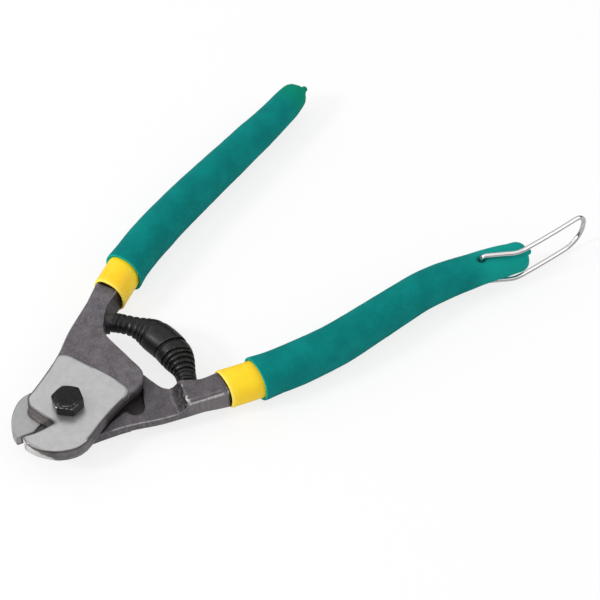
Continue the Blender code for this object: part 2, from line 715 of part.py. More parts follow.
def latch_path():
    """The wire from one end in the handle's hole, out along both arms and back to the other end."""
    height = grip_size(LATCH_STATION)[1] + FIT_GAP + WIRE_RADIUS
    ahead = Vector((math.cos(LATCH_HEADING), math.sin(LATCH_HEADING), 0))
    left = Vector((-ahead.y, ahead.x, 0))
    arm = [(ahead * along + left * aside) * LATCH_REACH for along, aside in LATCH_ARM_SHARES]
    up = Vector((0, 0, height))
    pin = Vector((0, 0, LATCH_PIN_LENGTH / 2))
    far = (ahead + left * LATCH_END_SHARE) * LATCH_REACH
    points = [pin, up] + [p + up for p in arm] + [far + up, far - up] + [p - up for p in reversed(arm)]
    points += [-up, -pin]
    plain = [0.0] * len(arm)
    radii = [LATCH_PIN_BEND] + plain + [LATCH_TOP_BEND, LATCH_LOW_BEND] + plain + [LATCH_PIN_BEND]
    return rounded(points, radii)


def make_latch(mat):
    vertices, faces = rings_mesh(tube_rings(latch_path(), WIRE_RADIUS))
    item = add_mesh("latch_bail", vertices, faces, mat, math.radians(50))
    item.location = latch_pivot()
    return item


def main():
    clear_scene()
    steel = material("forged_steel", (0.13, 0.115, 0.125), 0.55, 0.8)
    black = material("black_oxide", (0.02, 0.02, 0.022), 0.35, 0.6)
    spring_steel = material("spring_steel", (0.02, 0.02, 0.02), 0.4, 0.5)
    chrome = material("bright_wire", (0.75, 0.75, 0.75), 0.15, 1.0)
    yellow = material("yellow_vinyl", (1.0, 0.62, 0.02), 0.35, 0.0)
    green = material("green_foam", (0.005, 0.22, 0.18), 0.85, 0.0)
    make_lever("front_lever", 1, steel)
    make_lever("rear_lever", -1, steel)
    make_bolt(black)
    make_nut(black)
    make_spring(spring_steel)
    make_sleeve("front_sleeve", 1, yellow)
    rear_sleeve = make_sleeve("rear_sleeve", -1, yellow)
    make_grip("front_grip", 1, green)
    rear_grip = make_grip("rear_grip", -1, green)
    cut_latch_hole(rear_sleeve, "rear_sleeve")
    cut_latch_hole(rear_grip, "rear_grip")
    make_latch(chrome)


main()
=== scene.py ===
"""The looks of the cable cutter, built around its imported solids.

Lengths are in metres.  A lever's own frame has its station along the closed handle, its offset towards
the outer side and its height towards its own face; side is 1 for the front lever and -1 for the rear.
"""
import math

import bpy
import numpy as np
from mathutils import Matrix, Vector, noise


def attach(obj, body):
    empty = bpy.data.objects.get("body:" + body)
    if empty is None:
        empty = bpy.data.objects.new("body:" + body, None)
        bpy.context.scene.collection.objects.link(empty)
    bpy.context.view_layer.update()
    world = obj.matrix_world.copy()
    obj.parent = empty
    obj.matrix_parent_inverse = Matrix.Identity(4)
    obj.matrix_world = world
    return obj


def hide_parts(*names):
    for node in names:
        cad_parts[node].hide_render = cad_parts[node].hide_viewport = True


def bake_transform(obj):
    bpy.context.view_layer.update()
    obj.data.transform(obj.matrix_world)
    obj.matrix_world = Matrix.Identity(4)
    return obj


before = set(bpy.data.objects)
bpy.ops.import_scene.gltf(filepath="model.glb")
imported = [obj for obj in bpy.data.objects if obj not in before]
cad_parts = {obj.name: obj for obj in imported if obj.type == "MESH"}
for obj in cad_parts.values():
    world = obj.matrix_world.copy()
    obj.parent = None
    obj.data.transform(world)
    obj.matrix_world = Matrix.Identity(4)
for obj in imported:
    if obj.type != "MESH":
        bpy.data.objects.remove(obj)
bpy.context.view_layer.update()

# Sizes of the solids
HEAD_RADIUS = 0.0208
PLATE_THICKNESS = 0.00395
HANDLE_REACH = 0.180
HALF_OPENING = math.radians(19.84)
COS_HALF, SIN_HALF = math.cos(HALF_OPENING), math.sin(HALF_OPENING)
FIT_GAP = 0.0003
EDGE_BEVEL = 0.0006
SHANK_RUN = 0.00666
SHANK_HALF_WIDTH = 0.0041
RELIEF_DEPTH = 0.0003
LAP_SLANT = 0.0925
LAP_STEP_RUN = 0.0040
BOLT_DIAMETER = 0.0060
HEX_ACROSS_FLATS = 0.0100
HEX_TURN = math.radians(7.4)
HEAD_HEIGHT = 0.0037
HEX_CHAMFER = 0.0007
NUT_HEIGHT = 0.0040
CHAMFER_SLOPE = math.tan(math.radians(30))
SLEEVE_OVERLAP = 0.0024
SLEEVE_SHOWING = 0.0120
SLEEVE_HALF_WIDTH = 0.00655
SLEEVE_HALF_THICKNESS = 0.00685
SLEEVE_LIP = 0.0006
SLEEVE_SQUARENESS = 2.3
SHANK_SQUARENESS = 8.0
BORE_CLEARANCE = 0.00036
DIP_ANGLE = math.radians(-6.9)
DIP_RUN = 0.0259
GRIP_SQUARENESS = 2.2
NUB_SQUARENESS = 2.0
GRIP_HALF_WIDTH = 0.0071
GRIP_HALF_THICKNESS = 0.0087
GRIP_WALL = 0.0016
NUB_RADIUS = 0.0013
NUB_LENGTH = 0.0016
NUB_RISE = 0.0014
MID_Z = GRIP_HALF_THICKNESS

# The spring's winding, and where it stands on the levers
SEAT_SHARE = 1.971
SEAT_GAP = 0.0004
PEG_LENGTH = 0.0032
SPRING_TURNS = 16
SPRING_MID_RADIUS = 0.0059
SPRING_END_RADIUS = 0.0033
SPRING_BULGE_REACH = 0.0120
SPRING_BULGE_POWER = 4
STRIP_THICKNESS = 0.0005
# Turns from the middle one, and where the strip's edge lies along the axis there
SPRING_EDGES = [(-2.414, -0.0108), (-1.414, -0.0095), (-1.164, -0.0082), (-0.414, -0.0050), (-0.164, -0.0034),
                (0.086, -0.0015), (0.586, 0.0034), (0.836, 0.0056), (1.086, 0.0068), (1.586, 0.0079),
                (2.586, 0.0092)]

# The latch's wire, whose arm's places are shares of its reach, ahead and aside
WIRE_RADIUS = 0.00085
LATCH_SETBACK = 0.0203
LATCH_ASIDE = 0.0005
LATCH_PIN_LENGTH = 0.0040
LATCH_REACH = 0.0418
LATCH_TOP_BEND = 0.0048
LATCH_LOW_BEND = 0.0080
LATCH_PIN_BEND = 0.0018
LATCH_HEADING = math.radians(-37.3)
LATCH_ARM_SHARES = [(0.1, 0.0), (0.2, 0.0), (0.298, 0.0), (0.364, 0.02), (0.443, 0.061), (0.544, 0.116),
                    (0.695, 0.202), (0.8, 0.264)]
LATCH_END_SHARE = 0.385

# In head radii: the inner edge past the lap, and the ends of the head's outline
INNER_SHARES = [(1.65, 0.216), (1.75, 0.28), (1.9, 0.338), (2.05, 0.396), (2.17, 0.437), (2.3, 0.452)]
OUTER_END_SHARE = (2.3, 0.846)
LAP_END_SHARE = 1.692

# Handle centrelines and grip sections, in shares of the handle's and the grip's length
FRONT_LINE_SHARES = [(-0.1345, -0.0199), (0.0275, -0.0008), (0.1896, 0.0041), (0.3517, -0.0117),
                     (0.5138, -0.0384), (0.6758, -0.0682), (0.8379, -0.0981), (1.0, -0.1188)]
REAR_LINE_SHARES = [(-0.1345, -0.0196), (0.0275, -0.0012), (0.1896, 0.0025), (0.3517, -0.0133),
                    (0.5138, -0.0517), (0.6758, -0.0904), (0.8379, -0.0968), (1.0, -0.0862)]
GRIP_SHARES = [(0.0, 1.014, 0.862), (0.0526, 1.008, 0.92), (0.1381, 1.0, 1.0), (0.2545, 0.98, 1.0),
               (0.3943, 0.96, 0.97), (0.5341, 0.94, 0.905), (0.6583, 0.925, 0.82), (0.7515, 0.9, 0.735),
               (0.8292, 0.875, 0.675), (0.8991, 0.85, 0.65), (0.9379, 0.785, 0.61), (0.9658, 0.63, 0.5),
               (0.9798, 0.43, 0.36)]
NUB_START_SHARE = 0.986
NUB_SHARES = [(0.0, 1.0), (0.7, 0.9), (1.0, 0.5)]

# Places along a lever
HEAD_END = HEAD_RADIUS * OUTER_END_SHARE[0]
NECK_OFFSET = HEAD_RADIUS * (OUTER_END_SHARE[1] + INNER_SHARES[-1][1]) / 2
LAP_END = HEAD_RADIUS * LAP_END_SHARE
SEAT_STATION = HEAD_RADIUS * SEAT_SHARE
SHANK_END = HEAD_END + SHANK_RUN
SLEEVE_START = SHANK_END - SLEEVE_OVERLAP
GRIP_START = SLEEVE_START + SLEEVE_SHOWING
GRIP_LENGTH = HANDLE_REACH - GRIP_START
GRIP_LAST = GRIP_START + GRIP_LENGTH * GRIP_SHARES[-1][0]
NUB_START = GRIP_START + GRIP_LENGTH * NUB_START_SHARE
DIP_END = GRIP_START + DIP_RUN
LATCH_STATION = HANDLE_REACH - LATCH_SETBACK

# The levers' forged shape: the inner wall's lean and the shank's swell at stations along the lever, and the
# hollow that the die leaves in the lap's step, along the lever and upwards
SLANT_RUN = [(0.031, 0.0), (0.0365, 0.0011), (0.0415, 0.0013), (0.046, 0.0010), (0.0522, 0.0007),
             (0.0536, 0.0)]
SWELL_RUN = [(0.0435, 0.0), (0.048, 0.0004), (0.0522, 0.0008), (0.0536, 0.0)]
STEP_HOLLOW = (0.00045, 0.0005)
STEP_ROUGHNESS = 0.0003
STEP_RIDGE = 0.0001
RIDGE_WANDER = 0.0006

# Sleeves and grips
SLEEVE_WALL = 0.0010
SLEEVE_RECESS = 0.0017
MOUTH_SQUARENESS = 3.0
BEAD = 0.00006
BEAD_PLACE = 0.0012
BEAD_WIDTH = 0.0008
SLEEVE_RINGS = 14
CUT_EDGE = 0.0003
MOUTH_FLARE = 0.0006
MOUTH_FLARE_RUN = 0.0045
BLUNT_END = {1: 0.0007, -1: 0.0011}
BLUNT_RUN = 0.006
NUB_ASIDE = {1: 0.0022, -1: 0.0}
# Depth and scale of the foam's unevenness, and depth and reach of the dents round the latch's wire
FOAM_SWELLS = [(0.00016, 110.0), (0.00006, 420.0)]
WIRE_DENTS = [(0.0012, 0.0015), (0.0003, 0.0032)]
# How far round the wire the painted shade of its hole reaches
WIRE_HOLE = 0.0016
# Painted light that makes the grips' ends lighter: the grip's side, how far from its tip the tint starts and
# is full, and its share
TIP_TINTS = {"pale": (-1, 0.026, 0.014, 0.85), "leafy": (1, 0.014, 0.003, 1.0)}

# The winding's seams and its hold on the levers
STRIP_OVERLAP = 0.0009
STRIP_TUCK = 0.00058
SEAM_GAP = 0.00003
END_SEAM_GAP = 0.00005
TUCK_RISE = 0.45
TUCK_EASE = (0.0005, 0.002)
LIP_WEAR = (0, 0.2, 0.6, 1, 0.3)
STRIP_CREASE = math.radians(60)
MIDDLE_SEAM = 0.2
BULGE_SHIFT = -0.0018
SPRING_LIFT = {1: 0.0009, -1: 0.0012}

# The bolt's thread, the worn edges of its head and nut, and the side where those edges carry a painted
# highlight
THREAD_PITCH = 0.0010
THREAD_DEPTH = 0.0003
HEAD_CROWN = 0.0005
HEX_SOFTNESS = 0.00012
HEX_CREASE = math.radians(50)
GLINT_SIDE = math.radians(228)

# Fineness of the meshes
VOXEL = 0.00024
WELD_REACH = 0.000002
SMOOTHING_TURNS, SMOOTHING_SHARE = 4, 0.6
CRISPNESS = 0.8
RING_SIDES = 96
RING_STEP = 0.0012
DENT_RINGS = 25
HEX_SIDES = 144
SPRING_SIDES = 48
STRIP_ROWS = 14
WIRE_SIDES = 20
BEND_STEPS = 10

FINISH = "_finish"

# Finish of the levers: how far normals rise, angles about the bolt in degrees, reaches in head radii and
# depths below the pad.  The band's limit is the share of the wall that it leaves dark at an angle
WALL_TILT, STEEP_TILT, UNDER_TILT = 0.6, 0.85, -0.8
HEAD_REACH = 0.6
NOSE_ANGLES = (150, 262)
NOSE_REACH = 0.62
MOUTH_REACH = 0.93
# The nose's band is a painted reflection: a pale diffuse colour on the ground bevel, as strong as its shine
# at each angle
BAND_LIMIT = [(150, 0.05), (158, 0.09), (167, 0.16), (179, 0.28), (188, 0.42), (195, 0.7), (201, 1.1)]
BAND_SHINE = [(150, 1.0), (165, 0.95), (180, 0.75), (195, 0.6)]
BAND_EDGE = (-0.0002, 0.0003)
BAND_WANDER = 0.0006
BROWN_FADE = (200, 250)
BROWN_TINT = [(190, 0.6), (215, 0.75), (250, 0.9)]
# Where the nose's walls and the heel are paler in mottled patches
PALE_DEPTH = (0.0008, 0.0030)
PALE_RISE, PALE_FADE = (190, 200), (225, 260)
HEEL_RISE, HEEL_FADE = (235, 262), (262, 276)
WEDGE_DEPTH = (0.0006, 0.0018)
WEDGE_FADE = (330, 342)
UNDER_PAD_ANGLES = (181, 240)
RIM_END = 330
RIM_BREAK_RISE, RIM_BREAK_FADE = (176, 190), (245, 262)
POCKET_ALONG, POCKET_ACROSS = (0.28, 1.33), (-0.13, 0.57)
THROAT_SPOT = (-0.43, 0.03, 0.055)
TIP_SPOT = (-0.894, 0.351, 0.045)
PEG_SHADE_REACH = 0.0052
# How much the skin curves where rims of painted shade, worn corners and the shank's worn edge begin and are
# full
RIM_CURVE, WORN_CURVE, EDGE_CURVE = (0.01, 0.05), (0.035, 0.12), (0.012, 0.05)
# How strongly each area darkens the forging; step, pocket, throat, lap_floor, under_pad, inner_wall, near_peg
# and at_sleeve are painted shade
# under_lap is painted shade on the rear lever's upward face; lap darkens the ground lap at the jaws and tip
# the jaws' tips
SHADES = {"step": 0.85, "under_lap": 0.26, "pocket": 0.8, "throat": 0.8, "lap": 0.2, "lap_floor": 0.28,
          "under_pad": 0.6, "inner_wall": 0.5, "near_peg": 0.85, "at_sleeve": 0.75, "tip": 0.6}
# How much the rear lever's nose walls are darkened, and the painted shade in the wedge under the front head
NOSE_SHADE, WEDGE_SHADE = 0.45, 0.7

# Light: how white the camera sees the floor, its whiteness and its share in reflections, the world's light on
# the object, and how dark the sky starts in reflections and between which heights it brightens
FLOOR_GLOW = 0.78
FLOOR_MIRRORED = 0.45
MIRRORED_SHARE = 0.8
WORLD_FILL = 0.7
LOW_SKY = 0.08
SKY_RISE = (0.25, 0.55)
WHITE = (1.0, 1.0, 1.0, 1.0)
# Each lamp's place, the point that it looks at, its width and its power
LAMPS = {"key": ((-0.78, 0.4, 0.7), (0.03, 0, 0), 0.25, 5.5),
         "side": ((-0.3, 0.9, 0.8), (0.08, 0, 0), 0.8, 1.8),
         "right": ((0.9, -0.7, 0.6), (0.06, 0, 0), 1.0, 2.6)}
FLOOR_HALF = 3.0
FLOOR_DROP = 0.00005

# The camera, solved from the photo over the tool's middle plane
CAMERA_PLACE = (-0.23815, -0.35539, 0.54771 + MID_Z)
CAMERA_TARGET = (0.09224, -0.01968, MID_Z)
CAMERA_LENS = 120
CAMERA_SENSOR = 36


# Lever frame and sections


def lever_point(side, station, offset, height):
    c, s = COS_HALF, SIN_HALF
    return Vector((station * c - offset * s, side * (station * s + offset * c), MID_Z + side * height))


def in_lever_frame(side, points):
    """Station, offset and height of each point."""
    c, s = COS_HALF, SIN_HALF
    x, y, z = points[:, 0], points[:, 1] * side, (points[:, 2] - MID_Z) * side
    return np.stack([x * c + y * s, y * c - x * s, z], axis=1)


def from_lever_frame(side, own):
    c, s = COS_HALF, SIN_HALF
    x, y, z = own.T
    return np.stack([x * c - y * s, (x * s + y * c) * side, MID_Z + z * side], axis=1)


def smooth_run(points, steps):
    """Points along a smooth curve through the given ones, each a tuple of any length."""
    pts = np.array(points, dtype=float)
    ends = np.vstack([2 * pts[0] - pts[1], pts, 2 * pts[-1] - pts[-2]])
    out = []
    for i in range(1, len(ends) - 2):
        a, b, c, d = ends[i - 1:i + 3]
        for k in range(steps):
            t = k / steps
            out.append(0.5 * (2 * b + (c - a) * t + (2 * a - 5 * b + 4 * c - d) * t ** 2
                              + (3 * b - a - 3 * c + d) * t ** 3))
    out.append(pts[-1])
    return np.array(out)


def centreline(shares):
    return smooth_run(np.array(shares) * (HANDLE_REACH - HEAD_END) + (HEAD_END, NECK_OFFSET), 16)


LINES = {1: centreline(FRONT_LINE_SHARES), -1: centreline(REAR_LINE_SHARES)}
GRIP_TABLE = smooth_run(GRIP_SHARES, 6)


def line_at(side, station):
    """Offset of a handle's centreline at a station, and the direction of the line there."""
    fine = LINES[side]
    here = min(station, HANDLE_REACH - GRIP_WALL)
    behind, offset, ahead = np.interp([here - GRIP_WALL, here, here + GRIP_WALL], fine[:, 0], fine[:, 1])
    rise = (ahead - behind) / (2 * GRIP_WALL)
    return float(offset + rise * (station - here)), math.atan(rise)


LATCH_PIVOT = lever_point(-1, LATCH_STATION, line_at(-1, LATCH_STATION)[0] + LATCH_ASIDE, 0.0)


def ring_angle(slope, station):
    """The direction square to a ring: rings start along the dip line and turn square further on."""
    share = min(max((station - GRIP_START) / (DIP_END - GRIP_START), 0.0), 1.0)
    return DIP_ANGLE + (slope - DIP_ANGLE) * share


def section(side, station, half_width, half_thickness, power, rise=0.0):
    """A rounded ring around the handle's centreline, square to it or in the plane of the dip line."""
    offset, slope = line_at(side, station)
    along, aside = math.cos(slope), math.sin(slope)
    lean = math.tan(slope - ring_angle(slope, station))
    ring = []
    for k in range(RING_SIDES):
        q = 2 * math.pi * k / RING_SIDES
        c, s = math.cos(q), math.sin(q)
        across = half_width * math.copysign(abs(c) ** (2 / power), c)
        up = half_thickness * math.copysign(abs(s) ** (2 / power), s) + side * rise
        ring.append(lever_point(side, station + across * (lean * along - aside),
                                offset + across * (lean * aside + along), up))
    return ring


def grip_size(station):
    share = (station - GRIP_START) / GRIP_LENGTH
    width = np.interp(share, GRIP_TABLE[:, 0], GRIP_TABLE[:, 1]) * GRIP_HALF_WIDTH
    thickness = np.interp(share, GRIP_TABLE[:, 0], GRIP_TABLE[:, 2]) * GRIP_HALF_THICKNESS
    return width, thickness


# Meshes


def add_object(name, data):
    item = bpy.data.objects.new(name, data)
    bpy.context.scene.collection.objects.link(item)
    return item


def add_mesh(name, vertices, faces, smooth_angle=None):
    mesh = bpy.data.meshes.new(name)
    mesh.from_pydata([tuple(v) for v in vertices], [], faces)
    mesh.shade_smooth()
    if smooth_angle:
        mesh.set_sharp_from_angle(angle=smooth_angle)
    return add_object(name, mesh)


def add_rings(name, rings, smooth_angle=None, closed=False):
    """A solid of equal rings joined in order, with capped ends or closed on itself, its faces outwards."""
    count = len(rings[0])
    vertices = [p for ring in rings for p in ring]
    faces = []
    for i in range(len(rings) if closed else len(rings) - 1):
        a, b = i * count, (i + 1) % len(rings) * count
        for k in range(count):
            n = (k + 1) % count
            faces.append((a + k, a + n, b + n, b + k))
    if not closed:
        faces.append(tuple(reversed(range(count))))
        faces.append(tuple(range((len(rings) - 1) * count, len(rings) * count)))
    item = add_mesh(name, vertices, faces, smooth_angle)
    mesh = item.data
    mesh.calc_loop_triangles()
    a, b, c = coordinates(mesh)[read(mesh.loop_triangles, "vertices", np.int32).T]
    if np.einsum("ij,ij->i", a, np.cross(b, c)).sum() < 0:
        mesh.flip_normals()
    return item


def read(items, name, kind=float, width=3):
    """One value of every item of a mesh, as rows of equal width."""
    values = np.empty(len(items) * width, kind)
    items.foreach_get(name, values)
    return values.reshape(-1, width)


def coordinates(mesh):
    return read(mesh.vertices, "co")


def vertex_normals(mesh):
    return read(mesh.vertex_normals, "vector")


def store(mesh, name, values):
    attribute = mesh.attributes.new(name, "FLOAT", "POINT")
    attribute.data.foreach_set("value", np.asarray(values, dtype=np.float32))


def neighbour_means(points, edges):
    count = np.bincount(edges.ravel(), minlength=len(points))[:, None]
    total = np.stack([np.bincount(edges[:, 0], points[edges[:, 1], k], len(points))
                      + np.bincount(edges[:, 1], points[edges[:, 0], k], len(points))
                      for k in range(points.shape[1])], axis=1)
    return total / np.maximum(count, 1)


def soft_step(values, low, high):
    share = np.clip((values - low) / (high - low), 0, 1)
    return share * share * (3 - 2 * share)


def between(values, rise, fade):
    """1 where the values lie between two soft steps, each given by its two ends, and 0 outside."""
    return soft_step(values, *rise) * (1 - soft_step(values, *fade))


def greatest(*masks):
    """The greatest of several masks at each vertex."""
    return np.maximum.reduce([values * 1.0 for values in masks])


def spot(x, y, place_x, place_y, reach):
    """A soft round spot at a place, 1 in its middle."""
    return np.exp(-(np.hypot(x - place_x, y - place_y) / reach) ** 2)


# Materials


def connect(tree, socket, value):
    """Links a socket to an input, or sets the input to a number or a colour."""
    if isinstance(value, bpy.types.NodeSocket):
        tree.links.new(value, socket)
    else:
        socket.default_value = value


def add(tree, kind, values=None, **settings):
    """A node whose inputs are given as numbers, colours or sockets to link."""
    node = tree.nodes.new(kind)
    for key, value in settings.items():
        setattr(node, key, value)
    for key, value in (values or {}).items():
        connect(tree, node.inputs[key], value)
    return node


def new_material(name, colour=(0.5, 0.5, 0.5), **inputs):
    mat = bpy.data.materials.new(name + FINISH)
    mat.use_nodes = True
    shader = mat.node_tree.nodes["Principled BSDF"]
    shader.inputs["Base Color"].default_value = (*colour, 1.0)
    for key, value in inputs.items():
        shader.inputs[key.replace("_", " ")].default_value = value
    return mat, mat.node_tree, shader


def place(tree):
    return add(tree, "ShaderNodeTexCoord").outputs["Object"]


def grain(tree, where, scale, detail=3.0, roughness=0.6):
    values = {"Vector": where, "Scale": scale, "Detail": detail, "Roughness": roughness}
    return add(tree, "ShaderNodeTexNoise", values).outputs["Fac"]


def spots(tree, where, scale):
    return add(tree, "ShaderNodeTexVoronoi", {"Vector": where, "Scale": scale}).outputs["Distance"]


def stretch(tree, value, low, high, start=0.0, end=1.0):
    values = {"Value": value, "From Min": low, "From Max": high, "To Min": start, "To Max": end}
    return add(tree, "ShaderNodeMapRange", values, interpolation_type="SMOOTHSTEP").outputs["Result"]


def times(tree, a, b):
    return add(tree, "ShaderNodeMath", {0: a, 1: b}, operation="MULTIPLY").outputs[0]


def blend_colours(tree, share, a, b):
    a, b = ((*value, 1.0) if isinstance(value, tuple) else value for value in (a, b))
    return add(tree, "ShaderNodeMix", {0: share, 6: a, 7: b}, data_type="RGBA").outputs[2]


def blend_values(tree, share, a, b):
    return add(tree, "ShaderNodeMix", {0: share, 2: a, 3: b}, data_type="FLOAT").outputs[0]


def mottled(tree, pattern, limits, a, b):
    """Two colours that follow a pattern, the first below the lower limit and the second above the upper."""
    return blend_colours(tree, stretch(tree, pattern, *limits), a, b)


def mask(tree, name):
    return add(tree, "ShaderNodeAttribute", attribute_name=name).outputs["Fac"]


def tinted(tree, colour, **tints):
    """A colour with others laid over it, each where the mask of its name is 1."""
    for name, tint in tints.items():
        colour = blend_colours(tree, mask(tree, name), colour, tint)
    return colour


def surface(tree, shader, colour, rough, height, distance, strength):
    """Sets a material's colour and roughness, and its bump from a height."""
    bump = add(tree, "ShaderNodeBump", {"Height": height, "Distance": distance, "Strength": strength})
    for name, socket in {"Base Color": colour, "Roughness": rough, "Normal": bump.outputs["Normal"]}.items():
        tree.links.new(socket, shader.inputs[name])


def squeezed(tree, where, x, y, z):
    """The place with each axis scaled by itself, for a grain that runs one way."""
    return add(tree, "ShaderNodeVectorMath", {0: where, 1: (x, y, z)}, operation="MULTIPLY").outputs[0]


def forging_material():
    """Dark scaled forging, with ground faces, cut walls, worn edges, painted shade and painted reflections
    from the masks on the mesh.
    """
    mat, tree, shader = new_material("forged_steel")
    where = place(tree)
    broad = grain(tree, where, 260.0, 5.0, 0.65)
    fine = grain(tree, where, 1500.0, 3.0, 0.7)
    faint = grain(tree, where, 420.0, 4.0, 0.55)
    drawn = grain(tree, squeezed(tree, where, 1.0, 1.0, 0.12), 1100.0, 3.0, 0.6)
    sawn = grain(tree, squeezed(tree, where, 0.2, 0.2, 1.6), 2200.0, 2.0, 0.5)
    skin = mottled(tree, broad, (0.32, 0.68), (0.09, 0.081, 0.091), (0.148, 0.133, 0.147))
    skin = blend_colours(tree, stretch(tree, fine, 0.5, 0.68, 0.0, 0.55), skin, (0.25, 0.23, 0.245))
    pits = stretch(tree, spots(tree, where, 1300.0), 0.08, 0.22, 0.8, 0.0)
    skin = blend_colours(tree, pits, skin, (0.04, 0.035, 0.039))
    streaks = times(tree, mask(tree, "wall"), stretch(tree, drawn, 0.46, 0.64, 0.05, 0.6))
    skin = blend_colours(tree, streaks, skin, (0.26, 0.24, 0.25))
    # Paler outer walls of the shanks as a painted reflection of the floor, and paler mottled patches on the
    # nose's walls and the heel
    skin = blend_colours(tree, times(tree, mask(tree, "pale_walls"), 0.42), skin, (0.3, 0.28, 0.29))
    ground = mottled(tree, faint, (0.3, 0.7), (0.47, 0.47, 0.47), (0.52, 0.52, 0.52))
    cut = mottled(tree, sawn, (0.35, 0.65), (0.035, 0.027, 0.025), (0.14, 0.112, 0.105))
    # Over the colour lie the nose's band as a pale painted reflection, and the near-black painted shade
    colour = tinted(tree, skin, ground=tinted(tree, ground, tint=cut), matt=(0.71, 0.67, 0.665),
                    shade=(0.022, 0.019, 0.02))
    worn = times(tree, mask(tree, "worn"), stretch(tree, fine, 0.35, 0.6, 0.35, 1.0))
    colour = blend_colours(tree, worn, colour, (0.58, 0.55, 0.55))
    rough = blend_values(tree, mask(tree, "ground"), stretch(tree, fine, 0.3, 0.7, 0.45, 0.6), 0.34)
    gloss = blend_values(tree, mask(tree, "ground"), 0.45, 0.85)
    gloss = blend_values(tree, mask(tree, "matt"), gloss, 0.15)
    connect(tree, shader.inputs["Metallic"], gloss)
    height = blend_values(tree, mask(tree, "ground"), blend_values(tree, 0.4, fine, broad), 0.5)
    surface(tree, shader, colour, rough, height, 0.00026, 0.8)
    return mat


def dark_steel_material(name, scale, detail, colours, wear_scale, wear_limits, bare, bump, **inputs):
    """Dark steel of a fine grain, worn to bare metal in patches where its mask says so."""
    mat, tree, shader = new_material(name, **inputs)
    where = place(tree)
    fine = grain(tree, where, scale, detail)
    worn = times(tree, mask(tree, "worn"), stretch(tree, grain(tree, where, wear_scale), *wear_limits))
    colour = blend_colours(tree, worn, mottled(tree, fine, (0.35, 0.65), *colours), bare)
    surface(tree, shader, colour, stretch(tree, fine, 0.3, 0.7, 0.28, 0.42), fine, bump, 0.5)
    return mat


def black_oxide_material():
    # On the bolt and nut, the bare metal on the edges towards the camera is a painted highlight
    return dark_steel_material(
        "black_oxide", scale=1600.0, detail=3.0, colours=((0.009, 0.009, 0.01), (0.018, 0.018, 0.019)),
        wear_scale=900.0, wear_limits=(0.4, 0.58), bare=(0.75, 0.7, 0.66), bump=0.00006,
        Metallic=0.35, Specular_IOR_Level=0.2)


def spring_material():
    return dark_steel_material(
        "spring_steel", scale=1100.0, detail=4.0, colours=((0.007, 0.007, 0.007), (0.016, 0.0155, 0.015)),
        wear_scale=800.0, wear_limits=(0.5, 0.66), bare=(0.12, 0.115, 0.11), bump=0.0001,
        Metallic=0.3, Specular_IOR_Level=0.35)


def wire_material():
    mat, tree, shader = new_material("bright_wire", Metallic=1.0)
    fine = grain(tree, place(tree), 700.0, 2.0)
    colour = blend_colours(tree, fine, (0.74, 0.71, 0.72), (0.86, 0.83, 0.84))
    surface(tree, shader, colour, stretch(tree, fine, 0.3, 0.7, 0.12, 0.2), fine, 0.00003, 0.3)
    return mat


def vinyl_material():
    mat, tree, shader = new_material("yellow_vinyl", Coat_Weight=0.12, Coat_Roughness=0.2,
                                     Specular_IOR_Level=0.25)
    where = place(tree)
    broad = grain(tree, where, 120.0, 2.0)
    fine = grain(tree, where, 1300.0, 2.0)
    colour = mottled(tree, broad, (0.3, 0.7), (1.0, 0.61, 0.008), (1.0, 0.7, 0.016))
    # A paler yellow along the lip, painted as a highlight
    colour = blend_colours(tree, times(tree, mask(tree, "lip"), 0.75), colour, (1.0, 0.86, 0.16))
    height = blend_values(tree, 0.25, broad, fine)
    surface(tree, shader, colour, stretch(tree, broad, 0.3, 0.7, 0.3, 0.42), height, 0.0003, 0.3)
    return mat


def foam_material():
    """Fine closed-cell foam: pores, a lighter cut edge at the mouth, painted shade for the hole round the
    wire and painted light at the grips' ends.
    """
    mat, tree, shader = new_material("green_foam", Specular_IOR_Level=0.06)
    where = place(tree)
    broad = grain(tree, where, 140.0, 4.0)
    cells = spots(tree, where, 1500.0)
    fine = grain(tree, where, 2600.0, 2.0)
    colour = mottled(tree, broad, (0.3, 0.7), (0.0018, 0.184, 0.174), (0.0028, 0.223, 0.207))
    colour = blend_colours(tree, stretch(tree, cells, 0.0, 0.3, 0.5, 0.0), colour, (0.0016, 0.1, 0.092))
    colour = tinted(tree, colour, pale=(0.006, 0.315, 0.268), leafy=(0.0018, 0.235, 0.15),
                    cut=(0.008, 0.38, 0.33), hole=(0.001, 0.02, 0.017))
    height = blend_values(tree, 0.5, cells, fine)
    surface(tree, shader, colour, stretch(tree, fine, 0.3, 0.7, 0.7, 0.9), height, 0.0003, 0.7)
    return mat


# Pieces


def wander(points, scale, seed=0.0):
    """Smooth noise at each point, about -0.5 to 0.5."""
    return np.array([noise.noise(Vector(p) * scale + Vector((seed, 0, 0))) for p in points])


def line_offsets(side, stations):
    """Offsets of a handle's centreline at many stations."""
    return np.interp(stations, LINES[side][:, 0], LINES[side][:, 1])


